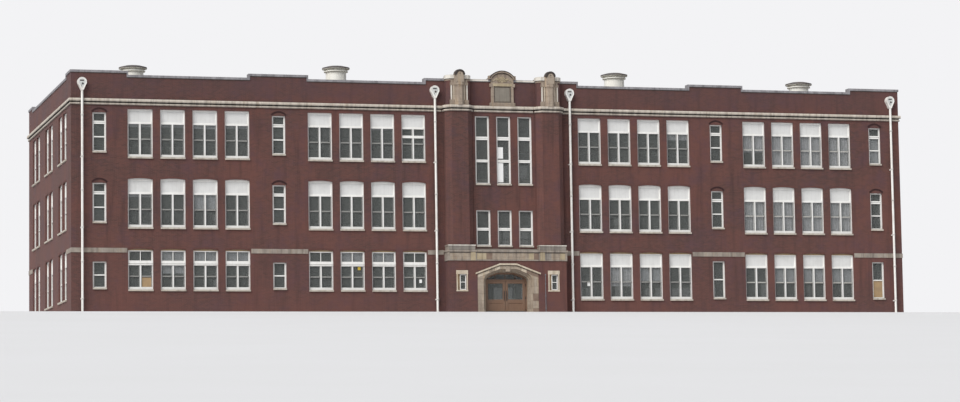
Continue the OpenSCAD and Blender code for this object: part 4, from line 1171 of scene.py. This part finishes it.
def addScroll(shape, side, y):
    # it leaves the eye at its highest, sinks outwards and grows thin
    c = carving
    thick, thin = c["scrollRadii"]
    path = []
    for share in shares(c["scrollSteps"]):
        rise = c["scrollRise"] * math.sin(math.pi * (0.5 - share * c["scrollTurn"]))
        rise *= 1 - c["scrollSink"] * share
        path.append((side * (c["scrollStart"] + c["scrollLength"] * share), y - c["proud"],
                     c["foot"] + c["scrollLift"] + rise))
    addTube(shape, path, [thick - (thick - thin) * share for share in shares(c["scrollSteps"])])
    addBoss(shape, side * c["eyeX"], c["foot"] + c["eyeLift"], y, c["eye"], 18)


def addTympanum():
    # a fluted shell between two scrolls
    shape = Shape()
    y = b["front"] - carving["out"]
    addRibs(shape, y)
    addBoss(shape, 0.0, carving["foot"], y, carving["shell"], 20)
    for side in (-1, 1):
        addScroll(shape, side, y)
    piece("tympanumCarving", shape, yellowStone, smooth=True)


caps = {
    "ring": (0.09, 0.153), "springing": 6.952, "front": 0.446, "back": 0.35,
    "nicheHalf": 0.108, "nicheFoot": 6.735, "nicheOut": (-0.009, 0.05), "nicheSteps": 12,
    "stripHeights": (6.232, 6.652), "stripThick": 0.003,
    # the gap strips are dark: a painted shade in the channels between the light strips
    # from the middle, half width, and how far before the turret's top
    "strip": (0.1587, 0.015, 0.03), "edge": (0.2355, 0.018, 0.03), "gap": (0.1971, 0.016, 0.016),
    "slabHalf": 0.378, "slabCant": 0.272, "slabSide": 0.19, "slabFront": 0.302,
    "slab": (0.0, 6.848, 6.958), "shadow": (-0.007, 6.834, 6.848),      # how much wider, foot and head
}


def addHoods():
    # a dark round hood over the light head of each turret's column
    hoods = Shape()
    faces = Shape()
    inner, outer = caps["ring"]
    half, springing = caps["nicheHalf"], caps["springing"]
    near, far = caps["nicheOut"]
    turns = [math.pi * share for share in shares(caps["nicheSteps"])]
    for side in (-1, 1):
        middle = side * b["turretMiddle"]
        addArc(hoods, middle, springing, inner, outer, caps["front"], caps["back"])
        outline = [(middle - half, caps["nicheFoot"]), (middle + half, caps["nicheFoot"])]
        outline += [(middle + half * math.cos(a), springing + half * math.sin(a)) for a in turns]
        addFrontPrism(faces, outline, caps["front"] + near, caps["back"] + far)
    piece("domeHoods", hoods, blackStone, bevel=0.003)
    piece("nicheFaces", faces, portalStone, bevel=0.003)


def addSlab(shape, middle, past, low, high):
    # a slab to the canted outline of a turret's coping
    half, cant = caps["slabHalf"] + past, caps["slabCant"] + past / 2
    side, front = caps["slabSide"] + past / 2, caps["slabFront"] + past
    outline = [(-half, 0.0), (-half, side), (-cant, front), (cant, front), (half, side), (half, 0.0)]
    skin(shape, [[(middle + x, b["front"] - out, z) for x, out in outline] for z in (low, high)])


def dressCaps():
    # light faces on the flat strips, a painted shade in the sunk channels between them, and slabs on the
    # turrets' copings with a painted shadow under each
    light = Shape()
    edges = Shape()
    dark = Shape()
    slabs = Shape()
    shadows = Shape()
    thick = caps["stripThick"]
    for side in (-1, 1):
        middle = side * b["turretMiddle"]
        for hand in (-1, 1):
            for kind, shape in (("strip", light), ("edge", edges), ("gap", dark)):
                away, half, out = caps[kind]
                x = middle + hand * away
                out += b["topOut"]
                addFront(shape, x - half, x + half, out + thick, out, *caps["stripHeights"])
        addSlab(slabs, middle, *caps["slab"])
        addSlab(shadows, middle, *caps["shadow"])
    piece("capStrips", light, lightStone, bevel=0.002)
    piece("capEdges", edges, paleStone, bevel=0.002)
    # dark strips in the channels: a painted shade
    piece("capChannelShade", dark, shadeAndSootStone)
    piece("capSlabs", slabs, paleStone, bevel=0.006)
    piece("slabShadows", shadows, shadeAndSootStone)


coping = {
    "first": 1.7445,        # where the wings' parapet begins, outside a turret
    "step": 0.024,          # the low lengths begin this far before their windows
    "low": 3.518,
    # the dark strips under the copings are a painted shadow
    "shadowDrop": 0.065, "darkening": 0.02, "shadowOut": 0.0016,
    "bay": (0.346, 1.0),
    "face": (0.42, 0.98), "faceOut": (0.028, 0.02), "faceDrop": (0.058, 0.008),
    "archHalf": 0.384, "archRise": 0.215, "archLift": 0.04, "archSteps": 32,
    # inner and outer edge from the arch's line, near and far face, and share of its length
    # the second, inner rim is a painted shadow line
    "archRims": ((-0.016, 0.008, 0.102, 0.02, 1.0), (-0.07, -0.05, 0.0785, 0.07, 0.86)),
    "ends": (0.352, 0.408, 0.1, -0.04, 6.905, 6.99),
}


def copingRuns():
    # left and right edge and top of each length of the right wing's parapet, low over the windows
    runs = []
    edge = coping["first"]
    for start in b["groupStarts"]:
        left = start - coping["step"]
        runs += [(edge, left, b["highTop"]), (left, left + coping["low"], b["lowTop"])]
        edge = left + coping["low"]
    return runs + [(edge, b["end"], b["highTop"])]


def addCopingLines():
    # painted shadow under the parapet's copings, and light faces on the bay's
    lines = Shape()
    faces = Shape()
    c = coping
    for x0, x1, top in copingRuns():
        foot = top - c["shadowDrop"]
        addPair(lines, x0, x1, c["shadowOut"], 0.0, foot - c["darkening"], foot)
    foot = b["highTop"] - c["shadowDrop"]
    addPair(lines, *c["bay"], b["bayMiddle"] + c["shadowOut"], b["bayMiddle"], foot - c["darkening"], foot)
    near, far = c["faceOut"]
    low, high = c["faceDrop"]
    addPair(faces, *c["face"], b["bayMiddle"] + near, b["bayMiddle"] + far, b["highTop"] - low,
            b["highTop"] - high)
    addArchRims()
    piece("bayCopingFaces", faces, paleStone, bevel=0.003)
    # dark strips under the copings: a painted shadow
    piece("copingShadow", lines, shadeAndSootStone)
    blocks = Shape()
    addPair(blocks, *c["ends"])
    piece("archEnds", blocks, carvedStone, bevel=0.006)


def addArchRims():
    # two dark lines on the tablet's arch: one along its edge, and inside it a painted shadow line
    rims = Shape()
    radius = arcRadius(coping["archHalf"], coping["archRise"])
    reach = math.asin(coping["archHalf"] / radius)
    centre = b["highTop"] + coping["archLift"] + coping["archRise"] - radius
    for inner, outer, near, far, share in coping["archRims"]:
        addArc(rims, 0.0, centre, radius + inner, radius + outer, near, far, math.pi / 2 - reach * share,
               math.pi / 2 + reach * share, coping["archSteps"])
    piece("archRims", rims, blackStone)


addTablet()
addTympanum()
addHoods()
dressCaps()
addCopingLines()
print("stage: parapet stone")


# Doors

door = {
    "face": 0.054, "meeting": 0.0045, "hingeEdge": 0.594, "stile": 0.062,
    # foot and head of each panel, width and depth of its moulding
    "panels": ((0.156, 0.376, 0.016, 0.009), (0.466, 0.947, 0.012, 0.007)), "mouldingProud": 0.003,
    "pull": (0.5, 0.68), "pullOut": 0.026, "pullRadius": 0.006, "pullBend": (0.004, 0.006),
    "into": 0.001, "kick": (0.012, 0.03, 0.054, 0.146), "kickThick": 0.0016,      # side gaps, foot and head
    "plateHalf": 0.014, "plateThick": 0.002, "platePast": 0.05,
    "lock": 0.445, "lockProfile": ((0.011, -0.001), (0.011, 0.004), (0.006, 0.005)),
}


def addDoorMouldings(body, side):
    trim = Shape()
    face = door["face"]
    x0, x1 = sorted((side * (door["meeting"] + door["stile"]), side * (door["hingeEdge"] - door["stile"])))
    for foot, head, width, deep in door["panels"]:
        addBorder(trim, x0, x1, foot, head, width, face + door["mouldingProud"], face - deep)
    piece(body + "Mouldings", trim, looks["door_wood"], body)


def addDoorIronwork(body, side):
    # pull, kick plate, pull plate and lock
    metal = Shape()
    face, into = door["face"], door["into"]
    x = side * (door["meeting"] + door["stile"] / 2)
    y = b["front"] - face
    out = y - door["pullOut"]
    low, high = door["pull"]
    deep, tall = door["pullBend"]
    path = [(x, y, low), (x, out + deep, low), (x, out, low + tall), (x, out, high - tall),
            (x, out + deep, high), (x, y, high)]
    addTube(metal, path, door["pullRadius"], 10)
    inner, outer, foot, head = door["kick"]
    left, right = sorted((side * (door["meeting"] + inner), side * (door["hingeEdge"] - outer)))
    addFront(metal, left, right, face + door["kickThick"], face - into, foot, head)
    addFront(metal, x - door["plateHalf"], x + door["plateHalf"], face + door["plateThick"], face - into,
             low - door["platePast"], high + door["platePast"])
    addBoss(metal, x, door["lock"], y, door["lockProfile"], 16)
    piece(body + "Ironwork", metal, darkMetal, body, bevel=0.0006)


fanlight = {"bars": (-0.3, 0.0, 0.3), "half": 0.007, "out": (0.042, 0.031), "foot": 1.05, "head": 1.199}


def addFanlightBars():
    bars = Shape()
    near, far = fanlight["out"]
    for x in fanlight["bars"]:
        addFront(bars, x - fanlight["half"], x + fanlight["half"], near, far, fanlight["foot"],
                 slopeAt(fanlight["head"], x))
    piece("fanlightBars", bars, looks["door_wood"], bevel=0.001)


for body, side in (("left_leaf", -1), ("right_leaf", 1)):
    addDoorMouldings(body, side)
    addDoorIronwork(body, side)
addFanlightBars()
print("stage: doors")


# Rainwater goods, vents and roof

water = {
    "places": (2.0425, 12.233), "axis": 0.1, "pipe": 0.033, "collars": (0.47, 1.5, 2.46, 3.5, 4.44, 5.6),
    # past the pipe's radius, and height
    "collar": ((-0.004, -0.024), (0.006, -0.022), (0.006, 0.018), (0.008, 0.02), (0.008, 0.03),
               (-0.004, 0.032)),
    "headFront": 0.133, "headMiddle": 6.523, "headRadius": 0.126, "headFoot": 6.293, "headReach": -40,
    "rim": 0.007, "rimSteps": 28,
    "plateIn": 0.03, "plateLift": 0.05, "plateSteps": 20, "plateOut": (0.0016, -0.002),
    # dark plates on the head's face where its slots are, a painted shade of the hollow head behind: left,
    # right, foot and head from its middle
    "slots": ((-0.062, 0.05, 0.022, 0.058), (-0.024, -0.014, -0.13, -0.075)), "slotOut": 0.003,
    "eye": (0.016, -0.05), "eyeProfile": ((0.03, 0.0), (0.03, 0.003), (0.024, 0.003)),
}


def headArc(x, radius, steps):
    # X and Z of points round a rain-head's upper part, from right to left
    low = math.radians(water["headReach"])
    turns = [low + (math.pi - 2 * low) * share for share in shares(steps)]
    return [(x + radius * math.cos(a), water["headMiddle"] + radius * math.sin(a)) for a in turns]


def addWaterParts():
    rims = Shape()
    plates = Shape()
    slots = Shape()
    w = water
    front, middle = w["headFront"], w["headMiddle"]
    y = b["front"] - front
    collar = [(w["pipe"] + past, height) for past, height in w["collar"]]
    for x in [side * place for side in (-1, 1) for place in w["places"]]:
        for z in w["collars"]:
            addTurned(rims, (x, b["front"] - w["axis"], z), collar, 20)
        path = headArc(x, w["headRadius"], w["rimSteps"])
        path += [(x - w["pipe"], w["headFoot"]), (x + w["pipe"], w["headFoot"])]
        addTube(rims, [(px, y, pz) for px, pz in path], w["rim"], closed=True)
        outline = headArc(x, w["headRadius"] - w["plateIn"], w["plateSteps"])
        outline.append((x, w["headFoot"] + w["plateLift"]))
        near, far = w["plateOut"]
        addFrontPrism(plates, outline, front + near, front + far)
        # dark plates on the slots and a dark boss on the round hole: a painted shade of the head's inside
        for left, right, low, high in w["slots"]:
            addFront(slots, x + left, x + right, front + w["slotOut"], front, middle + low, middle + high)
        aside, lift = w["eye"]
        addBoss(slots, x + aside, middle + lift, y, w["eyeProfile"], 18)
    piece("pipeCollars", rims, looks["spout_paint"], smooth=True)
    grey = paintMaterial("headPlate", srgb(204, 206, 203), srgb(150, 150, 148), 0.4, gloss=0.5)
    piece("headPlates", plates, grey)
    piece("headHoleShade", slots, darkMetal)


vents = {
    "places": ((4.3395, 1.19), (10.3745, 1.055)), "y": 2.55, "drum": 0.3025, "cap": 0.405, "steps": 48,
    "bands": (0.14, 0.42, 0.7), "band": ((-0.003, 0.0), (0.007, 0.002), (0.007, 0.022), (-0.003, 0.024)),
    # share of the cap's radius, past it, and height over the vent's top
    "crown": ((1.0, -0.01, -0.098), (1.0, 0.003, -0.098), (1.0, 0.003, -0.062), (0.6, 0.0, -0.017),
              (0.0, 0.01, 0.003)),
    "seams": 4, "seamTurn": 0.35, "seamOut": 0.001, "seamFeet": (0.13, 0.5), "seamDrop": 0.19,
    "seamRadius": 0.005,
}


def addVent(bands, crowns, x, y, high):
    v = vents
    band = [(v["drum"] + past, up) for past, up in v["band"]]
    for z in v["bands"]:
        addTurned(bands, (x, y, b["deck"] + z), band, v["steps"])
    crown = [(share * v["cap"] + past, up) for share, past, up in v["crown"]]
    addTurned(crowns, (x, y, b["deck"] + high), crown, v["steps"])
    for k in range(v["seams"]):
        angle = math.tau * (k + v["seamTurn"]) / v["seams"]
        px = x + (v["drum"] + v["seamOut"]) * math.cos(angle)
        py = y + (v["drum"] + v["seamOut"]) * math.sin(angle)
        heights = (*v["seamFeet"], high - v["seamDrop"])
        addTube(bands, [(px, py, b["deck"] + z) for z in heights], v["seamRadius"], 6)


def addVentParts():
    bands = Shape()
    crowns = Shape()
    for side in (-1, 1):
        for place, high in vents["places"]:
            addVent(bands, crowns, side * place, b["front"] + vents["y"], high)
    piece("ventBands", bands, looks["vent_metal"], smooth=True)
    tarred = paintMaterial("tarredTin", srgb(78, 73, 72), srgb(112, 98, 88), 0.6, gloss=0.6)
    piece("ventCrowns", crowns, tarred)


roof = {
    "lap": 0.002, "flashing": 0.14, "thick": 0.006, "kick": 0.07,
    "drains": (-9.2, -3.1, 3.1, 9.2), "drainY": 1.4,
    "drain": ((0.13, 0.0), (0.12, 0.012), (0.07, 0.014), (0.066, 0.05), (0.045, 0.075), (0.012, 0.084)),
}


def addFlashing():
    # lead up the parapets' inner faces, kicked out at its foot
    flashing = Shape()
    x, y0, y1 = b["end"] - b["wall"], b["front"] + b["wall"], b["back"] - b["wall"]
    foot, head = b["deck"] - roof["lap"], b["deck"] + roof["flashing"]
    section = ((0.0, foot), (0.0, head), (roof["thick"], head), (roof["kick"], foot))
    corners = ((x, y0), (-x, y0), (-x, y1), (x, y1))
    inward = ((0, 1), (1, 0), (0, -1), (-1, 0))
    for k, (inX, inY) in enumerate(inward):
        ends = (corners[k], corners[(k + 1) % 4])
        skin(flashing, [[(px + inX * d, py + inY * d, z) for d, z in section] for px, py in ends])
    lead = metalMaterial("leadFlashing", srgb(112, 114, 116), srgb(138, 138, 136), 0.5, 0.3)
    piece("roofFlashing", flashing, lead, bevel=0.002)


def addDrains():
    drains = Shape()
    for x in roof["drains"]:
        addTurned(drains, (x, roof["drainY"], b["deck"] - roof["lap"]), roof["drain"], 24)
    piece("roofDrains", drains, darkMetal, smooth=True)


addWaterParts()
addVentParts()
addFlashing()
addDrains()
print("stage: rainwater goods, vents and roof")


# Stage, camera and light

ground = {"flat": 1.0, "fall": 0.0765, "bend": 2.0, "bendSteps": 8, "rows": (20, 50), "wide": 160.0,
          "near": -120.0, "far": 60.0}


def floorHeight(past):
    # height of the floor, past metres before its level part ends
    if past < ground["bend"]:
        return -ground["fall"] * past ** 2 / (2 * ground["bend"])
    return -ground["fall"] * (past - ground["bend"] / 2)


def layFloor():
    # level round the building, then falling away below the lines of sight
    shape = Shape()
    wide = ground["wide"]
    edge = b["front"] - b["baseOut"] - ground["flat"]
    lines = [ground["far"]] + [edge - ground["bend"] * share for share in shares(ground["bendSteps"])]
    lines += [edge - row for row in ground["rows"]] + [ground["near"]]
    for first, second in zip(lines, lines[1:]):
        low, high = floorHeight(max(0.0, edge - second)), floorHeight(max(0.0, edge - first))
        shape.add([(-wide, second, low), (wide, second, low), (wide, first, high), (-wide, first, high)],
                  [(0, 1, 2, 3)])
    mesh = bpy.data.meshes.new("floor")
    mesh.from_pydata(shape.points, [], shape.faces)
    floor = bpy.data.objects.new("floor", mesh)
    bpy.context.scene.collection.objects.link(floor)
    material, tree = newTree("floorPaper")
    place = put(tree, "ShaderNodeTexCoord").outputs["Object"]
    tone = blendColours(tree, noise(tree, place, 0.3, 3.0), srgb(216, 216, 216), srgb(220, 220, 221))
    close(tree, tone, 0.9, noise(tree, place, 30.0, 3.0), 0.001, strength=0.1)
    mesh.materials.append(material)


view = {"eye": (-23.670, -83.2565, -4.5025), "yaw": 0.2834, "pitch": 0.0951, "roll": -0.0153, "lens": 106.95,
        "sensor": 36, "reach": 1000}


def setCamera():
    yaw, pitch, roll = view["yaw"], view["pitch"], view["roll"]
    ahead = Vector((math.sin(yaw) * math.cos(pitch), math.cos(yaw) * math.cos(pitch), math.sin(pitch)))
    right = Vector((math.cos(yaw), -math.sin(yaw), 0))
    up = right.cross(ahead)
    rolledRight = math.cos(roll) * right + math.sin(roll) * up
    rolledUp = math.cos(roll) * up - math.sin(roll) * right
    data = bpy.data.cameras.new("camera")
    data.lens = view["lens"]
    data.sensor_width = view["sensor"]
    data.clip_end = view["reach"]
    camera = bpy.data.objects.new("camera", data)
    turn = Matrix((rolledRight, rolledUp, -ahead)).transposed()
    camera.matrix_world = Matrix.Translation(view["eye"]) @ turn.to_4x4()
    bpy.context.scene.collection.objects.link(camera)
    bpy.context.scene.camera = camera


light = {"sky": srgb(232, 236, 244), "skyStrength": 0.46, "paper": srgb(243, 243, 245), "sun": 3.1,
         "sunWidth": 40, "sunColour": (1.0, 0.985, 0.96), "sunTurn": (48, 0, -50)}


def setSky():
    # the camera, reflections and panes see plain paper; the rest is lit by the dimmer sky
    world = bpy.data.worlds.new("overcast")
    bpy.context.scene.world = world
    world.use_nodes = True
    tree = world.node_tree
    tree.nodes.clear()
    path = put(tree, "ShaderNodeLightPath")
    seen = math2(tree, "ADD", path.outputs["Is Camera Ray"], path.outputs["Is Glossy Ray"])
    seen = put(tree, "ShaderNodeMath", {0: seen, 1: path.outputs["Is Transmission Ray"]},
               operation="ADD", use_clamp=True).outputs[0]
    sky = put(tree, "ShaderNodeBackground", {"Color": light["sky"], "Strength": light["skyStrength"]})
    paper = put(tree, "ShaderNodeBackground", {"Color": light["paper"], "Strength": 1.0})
    mixed = put(tree, "ShaderNodeMixShader", {0: seen, 1: sky.outputs[0], 2: paper.outputs[0]})
    out = put(tree, "ShaderNodeOutputWorld")
    tree.links.new(mixed.outputs[0], out.inputs["Surface"])


def setSun():
    lamp = bpy.data.lights.new("softLamp", "SUN")
    lamp.energy = light["sun"]
    lamp.angle = math.radians(light["sunWidth"])
    lamp.color = light["sunColour"]
    sun = bpy.data.objects.new("softLamp", lamp)
    sun.rotation_euler = [math.radians(turn) for turn in light["sunTurn"]]
    bpy.context.scene.collection.objects.link(sun)


layFloor()
setCamera()
setSky()
setSun()
bpy.context.scene.view_settings.view_transform = "Standard"
